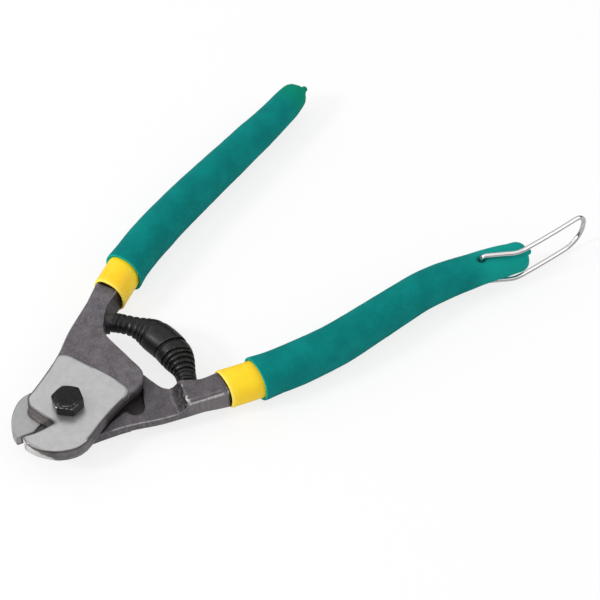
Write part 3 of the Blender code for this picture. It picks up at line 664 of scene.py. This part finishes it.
def worked_step(own):
    """Hollows the step of a lap as a forging die leaves it, lets its ridge wander, and masks it for painted
    shade.

    along and rise are shares of the step's run and height.
    """
    floor = FIT_GAP / 2
    run = (PLATE_THICKNESS + floor) * LAP_STEP_RUN / PLATE_THICKNESS
    along = (own[:, 0] - LAP_END + own[:, 1] * LAP_SLANT) / run
    rise = (floor - own[:, 2]) / (PLATE_THICKNESS + floor)
    near = (np.abs(along - rise) < 0.16) & (along > -0.3) & (along < 1.3)
    slope = np.where(near, np.sin(np.pi * np.clip(rise, 0, 1)), 0.0)
    ridge = np.exp(-((along - 1) / 0.28) ** 2) * soft_step(rise, 0.75, 0.97)
    foot = np.exp(-(along / 0.25) ** 2) * (1 - soft_step(rise, 0.1, 0.35)) * (np.abs(rise) < 0.35)
    uneven = STEP_ROUGHNESS * wander(own, 700.0)
    out = own.copy()
    out[:, 0] += slope * (STEP_HOLLOW[0] + uneven) + (ridge + foot) * RIDGE_WANDER * wander(own, 420.0, 3.0)
    out[:, 2] += slope * (STEP_HOLLOW[1] + uneven) + ridge * (STEP_RIDGE + uneven * 2 / 3)
    return out, near * between(rise, (0.05, 0.2), (0.85, 0.98))


def slanted(side, own):
    """Leans the inner wall of the shank as the forging's draft does, and swells the shank at the sleeve."""
    aside = own[:, 1] - line_offsets(side, own[:, 0])
    inward = soft_step(-aside, 0.0, SHANK_HALF_WIDTH)
    out = own.copy()
    lean = np.interp(own[:, 0], *zip(*SLANT_RUN))
    out[:, 1] += lean * inward * np.clip(own[:, 2] / PLATE_THICKNESS, -1, 0.85)
    swell = np.interp(own[:, 0], *zip(*SWELL_RUN))
    out[:, 1] += swell * (soft_step(aside, 0.0, SHANK_HALF_WIDTH) - 0.5 * inward)
    far_up = soft_step(np.abs(own[:, 2]), PLATE_THICKNESS / 2, PLATE_THICKNESS)
    out[:, 2] += swell * np.sign(own[:, 2]) * far_up
    return out


def about_bolt(own):
    """Distance from the bolt in head radii and angle about it in degrees."""
    x, y = own[:, 0], own[:, 1]
    return np.hypot(x, y) / HEAD_RADIUS, np.degrees(np.arctan2(y, x)) % 360


def fine_copy(name, node):
    """A finer, even copy of a solid, and its edges as pairs of vertices."""
    item = add_object(name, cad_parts[node].data.copy())
    item.modifiers.new("weld", "WELD").merge_threshold = WELD_REACH
    fine = item.modifiers.new("fine", "REMESH")
    fine.mode = "VOXEL"
    fine.voxel_size = VOXEL
    bpy.context.view_layer.update()
    mesh = bpy.data.meshes.new_from_object(item.evaluated_get(bpy.context.evaluated_depsgraph_get()))
    item.modifiers.clear()
    item.data = mesh
    return item, read(mesh.edges, "vertices", np.int32, 2)


def head_areas(side, own, up):
    """Where a lever is ground, cut or paler, and where painted shade and a painted reflection lie, each area
    from 0 to 1 at every vertex.
    """
    x, y, z = own.T
    out, around = about_bolt(own)
    top, size = PLATE_THICKNESS, HEAD_RADIUS
    line = line_offsets(side, x)
    wall = np.abs(up) < WALL_TILT
    under = up < UNDER_TILT
    past_start = around > NOSE_ANGLES[0]
    lap_plane = under & (np.abs(z - FIT_GAP / 2) < VOXEL)
    mouth = wall & (x < 0) & (y > 0) & (out < MOUTH_REACH)
    nose = (np.abs(up) < STEEP_TILT) & (x < 0) & (around < NOSE_ANGLES[1]) & (out > NOSE_REACH) & ~mouth
    nose &= (z < top - RELIEF_DEPTH) | wall
    # The nose's bright band, painted pale as a reflection
    band = top * (1 - np.interp(around, *zip(*BAND_LIMIT))) - z + BAND_WANDER * wander(own, 500.0, 5.0)
    bright = nose * soft_step(band, *BAND_EDGE) * past_start
    # Paler mottled patches on the nose's walls and at the heel
    deep = soft_step(top - z, *PALE_DEPTH)
    pale_patches = nose * (1 - bright) * deep * between(around, PALE_RISE, PALE_FADE)
    pale_patches *= np.clip(0.7 + wander(own, 420.0, 9.0), 0, 1.3)
    heel = 0.75 * wall * deep * between(around, HEEL_RISE, HEEL_FADE) * (out > HEAD_REACH)
    # Painted shade on the front lever's wall in the dark wedge under its head
    wedge = (side > 0) * wall * (out > HEAD_REACH) * between(around, HEEL_FADE, WEDGE_FADE)
    # Painted shade in the pocket of the lap
    pocket = (x > POCKET_ALONG[0] * size) & (x < POCKET_ALONG[1] * size)
    pocket &= (y > POCKET_ACROSS[0] * size) & (y < POCKET_ACROSS[1] * size)
    pocket &= (z > FIT_GAP / 2 + 0.0003) & (z < top - 0.001)
    pad = soft_step(z, top - RELIEF_DEPTH * 0.75, top - RELIEF_DEPTH * 0.4) * (x < size)
    # Painted shade in a thin line under the pad's edge
    under_pad = nose * soft_step(z, top - 0.0009, top - 0.0005) * (1 - pad)
    # Painted shade round the spring's peg
    near_peg = np.exp(-(np.hypot(x - SEAT_STATION, z * 0.8) / PEG_SHADE_REACH) ** 4)
    # under_lap, lap_floor, throat, inner_wall and at_sleeve are painted shade too
    return dict(
        pad=pad, mouth=mouth, nose=nose, bright=bright,
        wedge=wedge * soft_step(top - z, *WEDGE_DEPTH),
        brown=nose * (1 - bright) * (1 - soft_step(around, *BROWN_FADE)) * past_start,
        pale_patches=np.maximum(pale_patches, heel), pocket=pocket, lap=lap_plane & (x < 0),
        lap_floor=lap_plane & (x > 0), under_lap=(side < 0) * under * (x > LAP_END),
        under_pad=under_pad * (around > UNDER_PAD_ANGLES[0]) * (around < UNDER_PAD_ANGLES[1]),
        throat=spot(x / size, y / size, *THROAT_SPOT) * (mouth | (out < HEAD_REACH)),
        tip=spot(x / size, y / size, *TIP_SPOT), wall=wall * (x > size * 0.5),
        inner_wall=wall * (y < line - 0.0015) * soft_step(x, 1.35 * size, 1.6 * size),
        outer_wall=wall * (y > line + 0.001) * soft_step(x, LAP_END, LAP_END + 0.004),
        near_peg=near_peg * (y < line - 0.002) * (np.abs(z) < top - 0.0005),
        at_sleeve=soft_step(x, SLEEVE_START - 0.0005, SLEEVE_START + 0.0003),
        brown_tint=np.interp(around, *zip(*BROWN_TINT)), shine=np.interp(around, *zip(*BAND_SHINE)))


def edge_areas(side, own, curve, areas):
    """The rims darkened with painted shade and the worn edges of a lever, where its rounded skin curves most.
    """
    x, y, z = own.T
    out, around = about_bolt(own)
    size, start = HEAD_RADIUS, SLEEVE_START
    # Painted shade on the head's rounded rims, which darkens the highlight that the lamps put there
    rim = soft_step(curve, *RIM_CURVE) * (x < size * 0.9) * (around < RIM_END) * np.where(out < 0.9, 0.9, 0.6)
    rim *= 1 - 0.9 * (out > 0.8) * between(around, RIM_BREAK_RISE, RIM_BREAK_FADE)
    rim *= 1 - 0.9 * (side < 0) * (x > 0.25 * size) * (y > 0.5 * size)
    faint_to, strong_from = (0.9, 0.6) if side > 0 else (0.5, 0.55)
    worn = soft_step(curve, *WORN_CURVE) * np.where(x < size * faint_to, 0.12, 1.0) * (1 - areas["pad"])
    worn *= ((x > size * 1.4) | (y > size * strong_from)) * (1 - 0.7 * areas["step"])
    edge = soft_step(curve, *EDGE_CURVE) * (z < 0) * (y > line_offsets(side, x)) * (1 - 0.6 * areas["step"])
    edge *= between(x, (LAP_END, LAP_END + 0.003), (start - 0.0022, start - 0.001))
    return rim, np.maximum(worn, edge)


def lever_piece(name, side, node):
    """A finer copy of a lever's solid with rounded forged edges, and masks for its finish, its painted shade
    and its painted reflections.
    """
    item, edges = fine_copy(name, node)
    mesh = item.data
    own = in_lever_frame(side, coordinates(mesh))
    areas = head_areas(side, own, vertex_normals(mesh)[:, 2] * side)
    crisp = greatest(areas["pad"], areas["lap"], areas["mouth"], areas["nose"])[:, None]
    points = own
    for _ in range(SMOOTHING_TURNS):
        inwards = neighbour_means(points, edges) - points
        points = points + inwards * SMOOTHING_SHARE * (1 - CRISPNESS * crisp)
    points, areas["step"] = worked_step(points)
    points = slanted(side, points)
    mesh.vertices.foreach_set("co", from_lever_frame(side, points).ravel())
    mesh.update()
    normals = in_lever_frame(side, vertex_normals(mesh) + (0, 0, MID_Z))
    curve = -np.einsum("ij,ij->i", neighbour_means(points, edges) - points, normals) / VOXEL
    curve = neighbour_means(curve[:, None], edges)[:, 0]
    rim, worn = edge_areas(side, own, curve, areas)
    # The forging is darkened by the rims, the wedge, the rear nose and the listed areas, mostly as painted
    # shade
    shade = greatest(rim, areas["wedge"] * WEDGE_SHADE, areas["nose"] * (side < 0) * NOSE_SHADE,
                     *(areas[area] * share for area, share in SHADES.items()))
    # Cut and brown colours on the mouth, nose and tips, deeper towards the throat as painted shade
    tint = greatest(areas["mouth"] * (0.85 + 0.15 * areas["throat"]), areas["brown"] * areas["brown_tint"],
                    areas["tip"] * 0.8)
    ground = greatest(*(areas[area] for area in ("pad", "lap", "bright", "brown", "mouth")))
    # The nose's pale band is a painted reflection, the shade mask is painted shade, and the paler outer walls
    # are a painted reflection
    masks = {"matt": areas["bright"] * areas["shine"], "ground": np.clip(ground, 0, 1), "tint": tint,
             "shade": neighbour_means(shade[:, None], edges)[:, 0], "wall": areas["wall"],
             "pale_walls": np.maximum(areas["outer_wall"], areas["pale_patches"]), "worn": worn}
    for area, values in masks.items():
        store(mesh, area, values)
    mesh.shade_smooth()
    return item


def hexagon_rings(base, end):
    """Rings up a hexagon prism from its base to its chamfered end, and how worn each ring is."""
    flat = HEX_ACROSS_FLATS / 2
    inner = flat - HEX_CHAMFER
    soft = HEX_SOFTNESS
    sixth = math.pi / 3
    way = math.copysign(1, end - base)
    height = abs(end - base)
    wears = [0, 0, 0, 0, 0, 0.1, 0.8, 1.0, 0.15, 0, 0.05, 0.4, 0.05]
    rings = [[] for _ in wears]
    for k in range(HEX_SIDES):
        angle = 2 * math.pi * k / HEX_SIDES
        bend = abs(angle % sixth - sixth / 2)
        reach = flat / math.cos(bend)
        reach -= soft * max(0.0, 1 - (sixth / 2 - bend) * flat / (2.5 * soft)) ** 2
        drop = (reach - inner) * CHAMFER_SLOPE
        c, s = math.cos(angle + HEX_TURN), math.sin(angle + HEX_TURN)
        wall = height - drop - soft * 0.6
        rows = [(reach - soft, 0.0), (reach, soft * 0.5), (reach, wall * 0.35), (reach, wall * 0.8),
                (reach, wall - soft), (reach, wall), (reach - soft * 0.15, wall + soft * 0.35),
                (reach - soft * 0.5, wall + soft * 0.65), (reach - soft * 1.1, height - drop + soft * 0.45),
                (inner + (reach - inner) * 0.5, height - drop * 0.5),
                (inner + soft, height - soft * CHAMFER_SLOPE), (inner, height - soft * 0.2),
                (inner - soft, height)]
        for ring, (radius, up) in zip(rings, rows):
            ring.append(Vector((radius * c, radius * s, base + way * up)))
    return rings, wears


def round_ring(radius, height):
    angles = [2 * math.pi * k / HEX_SIDES + HEX_TURN for k in range(HEX_SIDES)]
    return [Vector((radius * math.cos(angle), radius * math.sin(angle), height)) for angle in angles]


def ring_wear(item, wears):
    """Stores each ring's wear: faint real wear all round, and a painted highlight on the side towards the
    camera.
    """
    points = coordinates(item.data)
    pale_walls = np.cos(np.arctan2(points[:, 1], points[:, 0]) - GLINT_SIDE)
    store(item.data, "worn", np.repeat(wears, HEX_SIDES) * (0.08 + 0.92 * soft_step(pale_walls, 0.55, 0.85)))


def bolt_piece():
    """The bolt, with its rolled thread inside the nut and at its tail."""
    low = MID_Z + PLATE_THICKNESS + FIT_GAP
    radius = BOLT_DIAMETER / 2
    rows = [(radius - EDGE_BEVEL, 0.0), (radius - EDGE_BEVEL * 0.35, EDGE_BEVEL * 0.4)]
    for height in np.arange(EDGE_BEVEL, MID_Z - PLATE_THICKNESS, THREAD_PITCH):
        rows += [(radius - THREAD_DEPTH, height), (radius, height + THREAD_PITCH * 0.4),
                 (radius, height + THREAD_PITCH * 0.6)]
    rings = [round_ring(*row) for row in rows + [(radius, MID_Z), (radius, low)]]
    top = low + HEAD_HEIGHT + HEAD_CROWN
    head, wears = hexagon_rings(low, top)
    inner = HEX_ACROSS_FLATS / 2 - HEX_CHAMFER
    caps = [round_ring(inner * share, top) for share in (0.8, 0.5, 0.2)]
    item = add_rings("hex_bolt", rings + head + caps, HEX_CREASE)
    ring_wear(item, [0] * len(rings) + wears + [0] * len(caps))
    return item


def nut_piece():
    high = MID_Z - PLATE_THICKNESS - FIT_GAP
    low = high - NUT_HEIGHT
    bore = BOLT_DIAMETER / 2 + FIT_GAP * 0.5
    rings = [round_ring(bore + 0.0004, low), round_ring(bore, low + 0.0005), round_ring(bore, high)]
    outer, wears = hexagon_rings(high, low)
    item = add_rings("hex_nut", rings + outer, HEX_CREASE, closed=True)
    ring_wear(item, [0] * len(rings) + wears)
    return item


def sock(name, side, rows):
    return add_rings(name, [section(side, *row) for row in rows])


def ring_numbers(rows):
    """The number of the ring that each vertex of a sock belongs to."""
    return np.repeat(np.arange(len(rows)), RING_SIDES)


def round_lip(start, width, thickness, wall, power, steps=5):
    """Rows from a wall's inner edge over its rounded end to its outer edge."""
    rows = []
    for k in range(steps + 1):
        angle = math.pi / 2 * k / steps
        inset = wall * (1 - math.sin(angle))
        rows.append((start + wall * (1 - math.cos(angle)), width - inset, thickness - inset, power))
    return rows


def sleeve_piece(name, side):
    """The part of a dipped sleeve that shows, with its bead at the mouth, running on into the grip."""
    start, lip = SLEEVE_START, SLEEVE_LIP
    width, thickness = SLEEVE_HALF_WIDTH, SLEEVE_HALF_THICKNESS
    inner = (SHANK_HALF_WIDTH + BORE_CLEARANCE, PLATE_THICKNESS + BORE_CLEARANCE, SHANK_SQUARENESS)
    mouth = (width - SLEEVE_WALL, thickness - SLEEVE_WALL, MOUTH_SQUARENESS)
    rows = [(SHANK_END, *inner), (start + SLEEVE_RECESS, *inner),
            (start + SLEEVE_RECESS - 0.0003, *mouth), (start + lip, *mouth)]
    # The rows round this ring carry a painted highlight along the rounded lip
    brightest = len(rows) + 3
    rows += round_lip(start, width, thickness, lip, SLEEVE_SQUARENESS)
    for station in np.linspace(start + 2 * lip, GRIP_START + 3 * lip, SLEEVE_RINGS):
        bead = BEAD * math.exp(-((station - start - BEAD_PLACE) / BEAD_WIDTH) ** 2)
        rows.append((station, width + bead, thickness + bead, SLEEVE_SQUARENESS))
    item = sock(name, side, rows)
    # The painted highlight on the lip, strongest at the brightest ring
    store(item.data, "lip", np.exp(-((ring_numbers(rows) - brightest) / 2.2) ** 2))
    return item


def grip_stations(side):
    """Rings along a grip, closer together where the latch's wire goes in."""
    stations = list(np.arange(GRIP_START + RING_STEP, GRIP_LAST - RING_STEP / 2, RING_STEP))
    if side < 0:
        near = 4 * RING_STEP
        stations = [s for s in stations if abs(s - LATCH_STATION) > near]
        stations += list(np.linspace(LATCH_STATION - near, LATCH_STATION + near, DENT_RINGS))
    return sorted(stations) + [GRIP_LAST]


def grip_piece(name, side):
    """The foam grip: a soft uneven tube with a cut mouth and a drip nub."""
    width, thickness = (size + MOUTH_FLARE for size in grip_size(GRIP_START))
    inner = (SLEEVE_HALF_WIDTH + FIT_GAP * 0.4, SLEEVE_HALF_THICKNESS + FIT_GAP * 0.4, GRIP_SQUARENESS)
    rows = [(GRIP_START + 3 * SLEEVE_LIP, *inner), (GRIP_START + 0.0002, *inner)]
    cut_rings = len(rows) + 3
    rows += round_lip(GRIP_START, width, thickness, CUT_EDGE, GRIP_SQUARENESS, 3)
    for station in grip_stations(side):
        flare = MOUTH_FLARE * math.exp(-((station - GRIP_START) / MOUTH_FLARE_RUN) ** 2)
        blunt = BLUNT_END[side] * float(soft_step(station, GRIP_LAST - BLUNT_RUN, GRIP_LAST))
        rows.append((station, *(size + flare + blunt for size in grip_size(station)), GRIP_SQUARENESS))
    for reach_share, width_share in NUB_SHARES:
        radius = NUB_RADIUS * width_share
        rows.append((NUB_START + NUB_LENGTH * reach_share, radius, radius, NUB_SQUARENESS, NUB_RISE))
    item = sock(name, side, rows)
    mesh = item.data
    points = coordinates(mesh)
    station = in_lever_frame(side, points)[:, 0]
    swell = sum(depth * wander(points, scale) for depth, scale in FOAM_SWELLS)
    swell *= between(station, (GRIP_START + 0.001, GRIP_START + 0.006), (GRIP_LAST - 0.004, GRIP_LAST))
    apart = np.full(len(points), 1.0)
    if side < 0:
        apart = np.hypot(points[:, 0] - LATCH_PIVOT.x, points[:, 1] - LATCH_PIVOT.y)
        swell -= sum(depth * np.exp(-(apart / reach) ** 2) for depth, reach in WIRE_DENTS)
    own = in_lever_frame(side, points + vertex_normals(mesh) * swell[:, None])
    own[:, 1] -= NUB_ASIDE[side] * soft_step(own[:, 0], GRIP_LAST - 0.0005, NUB_START)
    mesh.vertices.foreach_set("co", from_lever_frame(side, own).ravel())
    store(mesh, "cut", ring_numbers(rows) < cut_rings)
    # Painted shade standing in for the dark inside of the wire's hole
    store(mesh, "hole", np.exp(-(apart / WIRE_HOLE) ** 4))
    # Painted light that makes the grips' ends lighter
    for tint, (tinted_side, start, full, share) in TIP_TINTS.items():
        depth = soft_step(own[:, 0], GRIP_LAST - start, GRIP_LAST - full)
        store(mesh, tint, depth * share * (side == tinted_side))
    mesh.update()
    return item


def seat(side):
    """Where the spring stands on a lever: the point on the inner face and the direction out of it."""
    inner = smooth_run(np.array(INNER_SHARES) * HEAD_RADIUS, 4)
    offset, near, far = np.interp([SEAT_STATION, SEAT_STATION - PEG_LENGTH, SEAT_STATION + PEG_LENGTH],
                                  inner[:, 0], inner[:, 1])
    slope = math.atan2(far - near, 2 * PEG_LENGTH)
    foot = lever_point(side, SEAT_STATION, float(offset), 0.0)
    ahead = lever_point(side, SEAT_STATION + math.sin(slope), float(offset) - math.cos(slope), 0.0)
    return foot, ahead - foot


def spring_piece():
    """One unbroken strip wound about a bowed axis, each turn tucked under the one nearer the middle."""
    foot, out = seat(1)
    lean = math.atan2(out.x, -out.y)
    arc_radius = foot.y / math.sin(lean)
    centre_x = foot.x - arc_radius * math.cos(lean)
    ends = {side: arc_radius * lean - SEAT_GAP - lift for side, lift in SPRING_LIFT.items()}
    first, last = (-SPRING_TURNS / 2, -ends[-1]), (SPRING_TURNS / 2, ends[1])
    halfway = [np.mean(pair, axis=0) for pair in ((first, SPRING_EDGES[0]), (SPRING_EDGES[-1], last))]
    table = smooth_run(np.vstack([first, halfway[0], SPRING_EDGES, halfway[1], last]), 12)
    half = STRIP_THICKNESS / 2

    def edge(turn):
        return float(np.interp(turn, table[:, 0], table[:, 1]))

    def tucked(seam):
        """How far the lower of two turns goes under the other at a seam, from 0 to 1."""
        inside = ends[1 if seam > 0 else -1] - abs(edge(seam)) - PEG_LENGTH
        return float(soft_step(abs(seam - MIDDLE_SEAM), 0.0, TUCK_RISE) * soft_step(inside, *TUCK_EASE))

    def corner(place_at, radius, angle):
        bow = place_at / arc_radius
        reach = arc_radius + radius * math.cos(angle)
        height = MID_Z + radius * math.sin(angle)
        return Vector((centre_x + reach * math.cos(bow), reach * math.sin(bow), height))

    rings = []
    worn = []
    steps = SPRING_TURNS * SPRING_SIDES
    for i in range(steps + 1):
        turn = SPRING_TURNS * (i / steps - 0.5)
        angle = 2 * math.pi * turn
        behind, ahead = turn - 0.5, turn + 0.5
        seams = (edge(behind), edge(ahead))
        tucks = (tucked(behind), tucked(ahead))
        under = (tucks[0] * (behind > MIDDLE_SEAM), tucks[1] * (ahead < MIDDLE_SEAM))
        lips = (tucks[0] * (behind < MIDDLE_SEAM), tucks[1] * (ahead > MIDDLE_SEAM))
        gaps = [SEAM_GAP + END_SEAM_GAP * (abs(seam) > ends[1] - PEG_LENGTH - 0.001) for seam in seams]
        low = max(seams[0] + gaps[0] - STRIP_OVERLAP * under[0], -ends[-1])
        high = min(seams[1] - gaps[1] + STRIP_OVERLAP * under[1], ends[1])
        ramp = min(0.6 * max(seams[1] - seams[0], 0.0004), 0.002)

        def radius(place_at):
            rise = math.exp(-((place_at - BULGE_SHIFT) / SPRING_BULGE_REACH) ** SPRING_BULGE_POWER)
            middle = SPRING_END_RADIUS + (SPRING_MID_RADIUS - SPRING_END_RADIUS) * rise
            down = under[0] * (1 - soft_step(place_at, seams[0], seams[0] + ramp))
            down += under[1] * soft_step(place_at, seams[1] - ramp, seams[1])
            return middle - STRIP_TUCK * float(down)

        soft = min(half, (high - low) / 3)
        # Each corner's place, the place where its radius is taken and its share of the half thickness
        outline = [(low + soft, low, -1), (low, low, -0.3), (low, low, 0.3), (low + soft * 0.5, low, 0.85)]
        flat = low + soft + (high - low - 2 * soft) * np.linspace(0, 1, STRIP_ROWS)
        outline += [(place_at, place_at, 1) for place_at in flat]
        outline += [(high - soft * 0.5, high, 0.85), (high, high, 0.3), (high, high, -0.3),
                    (high - soft, high, -1)]
        rings.append([corner(place_at, radius(taken) + half * share, angle)
                      for place_at, taken, share in outline])
        worn += [lips[0] * wear for wear in LIP_WEAR] + [0] * (STRIP_ROWS - 2)
        worn += [lips[1] * wear for wear in reversed(LIP_WEAR)]
    item = add_rings("spring_strip", rings, STRIP_CREASE)
    store(item.data, "worn", worn)
    return item


def rounded(points, radii):
    """A path with an arc of the given radius at each inner point, or the point itself where it is 0."""
    path = [points[0]]
    for before, here, after, radius in zip(points, points[1:], points[2:], radii):
        if radius == 0:
            path.append(here)
            continue
        back, ahead = (before - here).normalized(), (after - here).normalized()
        half = back.angle(ahead) / 2
        start, stop = here + back * radius / math.tan(half), here + ahead * radius / math.tan(half)
        centre = here + (back + ahead).normalized() * radius / math.sin(half)
        for k in range(BEND_STEPS + 1):
            spoke = (start - centre).slerp(stop - centre, k / BEND_STEPS)
            path.append(centre + spoke.normalized() * radius)
    path.append(points[-1])
    return path


def latch_path():
    """The wire from one end in the handle's hole, out along both arms and back to the other end."""
    height = grip_size(LATCH_STATION)[1] + FIT_GAP + WIRE_RADIUS
    ahead = Vector((math.cos(LATCH_HEADING), math.sin(LATCH_HEADING), 0))
    left = Vector((-ahead.y, ahead.x, 0))
    shares = [LATCH_ARM_SHARES[0]] + [tuple(row) for row in smooth_run(LATCH_ARM_SHARES[1:], 5)]
    arm = [(ahead * along + left * aside) * LATCH_REACH for along, aside in shares]
    up = Vector((0, 0, height))
    pin = Vector((0, 0, LATCH_PIN_LENGTH / 2))
    far = (ahead + left * LATCH_END_SHARE) * LATCH_REACH
    points = [pin, up] + [p + up for p in arm] + [far + up, far - up] + [p - up for p in reversed(arm)]
    points += [-up, -pin]
    plain = [0.0] * len(arm)
    radii = [LATCH_PIN_BEND] + plain + [LATCH_TOP_BEND, LATCH_LOW_BEND] + plain + [LATCH_PIN_BEND]
    return [LATCH_PIVOT + p for p in rounded(points, radii)]


def wire_rings(path):
    """Round rings along a path, turned as little as possible from one to the next."""
    rings = []
    across = Vector((1, 0, 0))
    turn = 2 * math.pi / WIRE_SIDES
    for i, here in enumerate(path):
        tangent = (path[min(i + 1, len(path) - 1)] - path[max(i - 1, 0)]).normalized()
        across = (across - tangent * across.dot(tangent)).normalized()
        up = tangent.cross(across)
        rings.append([here + across * WIRE_RADIUS * math.cos(k * turn) + up * WIRE_RADIUS * math.sin(k * turn)
                      for k in range(WIRE_SIDES)])
    return rings


def dress(item, mat, body, node):
    """Gives a piece its material and any body that it rides on, and hides the solid that it stands for."""
    item.data.materials.clear()
    item.data.materials.append(mat)
    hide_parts(node)
    if body:
        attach(item, body)
    return item


def make_pieces():
    forging = forging_material()
    black = black_oxide_material()
    vinyl = vinyl_material()
    foam = foam_material()
    for side, end in ((1, "front"), (-1, "rear")):
        body = end + "_half"
        dress(lever_piece(end + "_forging", side, end + "_lever"), forging, body, end + "_lever")
        dress(sleeve_piece(end + "_dip", side), vinyl, body, end + "_sleeve")
        grip = dress(grip_piece(end + "_foam", side), foam, body, end + "_grip")
    dress(bolt_piece(), black, "rear_half", "pivot_bolt")
    dress(nut_piece(), black, "rear_half", "pivot_nut")
    dress(add_rings("latch_wire", wire_rings(latch_path())), wire_material(), "latch", "latch_bail")
    strip = dress(spring_piece(), spring_material(), None, "volute_spring")
    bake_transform(strip)


# Stage


def blend_shaders(tree, share, a, b):
    return add(tree, "ShaderNodeMixShader", {0: share, 1: a.outputs[0], 2: b.outputs[0]})


def glowing(tree, kind, strength):
    return add(tree, kind, {"Color": WHITE, "Strength": strength})


def make_floor():
    """A white floor whose glow keeps the shadows light to the camera, and that is dim in reflections."""
    mat, tree, shader = new_material("floor", (0.93, 0.93, 0.93), Roughness=0.9, Specular_IOR_Level=0.1)
    rays = add(tree, "ShaderNodeLightPath")
    share = times(tree, rays.outputs["Is Camera Ray"], FLOOR_GLOW)
    mixed = blend_shaders(tree, share, shader, glowing(tree, "ShaderNodeEmission", 1.0))
    share = times(tree, rays.outputs["Is Glossy Ray"], MIRRORED_SHARE)
    mixed = blend_shaders(tree, share, mixed, glowing(tree, "ShaderNodeEmission", FLOOR_MIRRORED))
    tree.links.new(mixed.outputs[0], tree.nodes["Material Output"].inputs["Surface"])
    corners = [(x * FLOOR_HALF, y * FLOOR_HALF, 0) for x, y in ((-1, -1), (1, -1), (1, 1), (-1, 1))]
    item = add_mesh("floor", corners, [(0, 1, 2, 3)])
    item.location.z = -FLOOR_DROP
    item.data.materials.append(mat)


def make_world():
    """White to the camera and in reflections, with the dim far end of a studio low in the reflections."""
    world = bpy.data.worlds.new("studio")
    bpy.context.scene.world = world
    world.use_nodes = True
    tree = world.node_tree
    tree.nodes.clear()
    rays = add(tree, "ShaderNodeLightPath")
    seen = rays.outputs["Is Camera Ray"]
    for kind in ("Is Glossy Ray", "Is Transmission Ray"):
        seen = add(tree, "ShaderNodeMath", {0: seen, 1: rays.outputs[kind]}, operation="MAXIMUM").outputs[0]
    way = add(tree, "ShaderNodeTexCoord").outputs["Generated"]
    height = add(tree, "ShaderNodeSeparateXYZ", {0: way}).outputs["Z"]
    sky = stretch(tree, height, *SKY_RISE, LOW_SKY, 1.0)
    level = blend_values(tree, rays.outputs["Is Glossy Ray"], 1.0, sky)
    fill = glowing(tree, "ShaderNodeBackground", WORLD_FILL)
    mixed = blend_shaders(tree, seen, fill, glowing(tree, "ShaderNodeBackground", level))
    out = add(tree, "ShaderNodeOutputWorld")
    tree.links.new(mixed.outputs[0], out.inputs["Surface"])


def aimed(name, data, place_at, target):
    """An object at a place that looks at a target."""
    item = add_object(name, data)
    item.location = place_at
    item.rotation_euler = (Vector(target) - Vector(place_at)).to_track_quat("-Z", "Y").to_euler()
    return item


def make_lamps():
    for name, (place_at, target, size, power) in LAMPS.items():
        data = bpy.data.lights.new(name, "AREA")
        data.shape = "DISK"
        data.size = size
        data.energy = power
        aimed(name, data, place_at, target)


def make_camera():
    data = bpy.data.cameras.new("photo_camera")
    data.lens = CAMERA_LENS
    data.sensor_width = CAMERA_SENSOR
    data.clip_start = 0.01
    bpy.context.scene.camera = aimed("photo_camera", data, CAMERA_PLACE, CAMERA_TARGET)


def main():
    make_pieces()
    make_floor()
    make_world()
    make_lamps()
    make_camera()
    bpy.context.scene.view_settings.view_transform = "Standard"
    bpy.context.view_layer.update()


main()
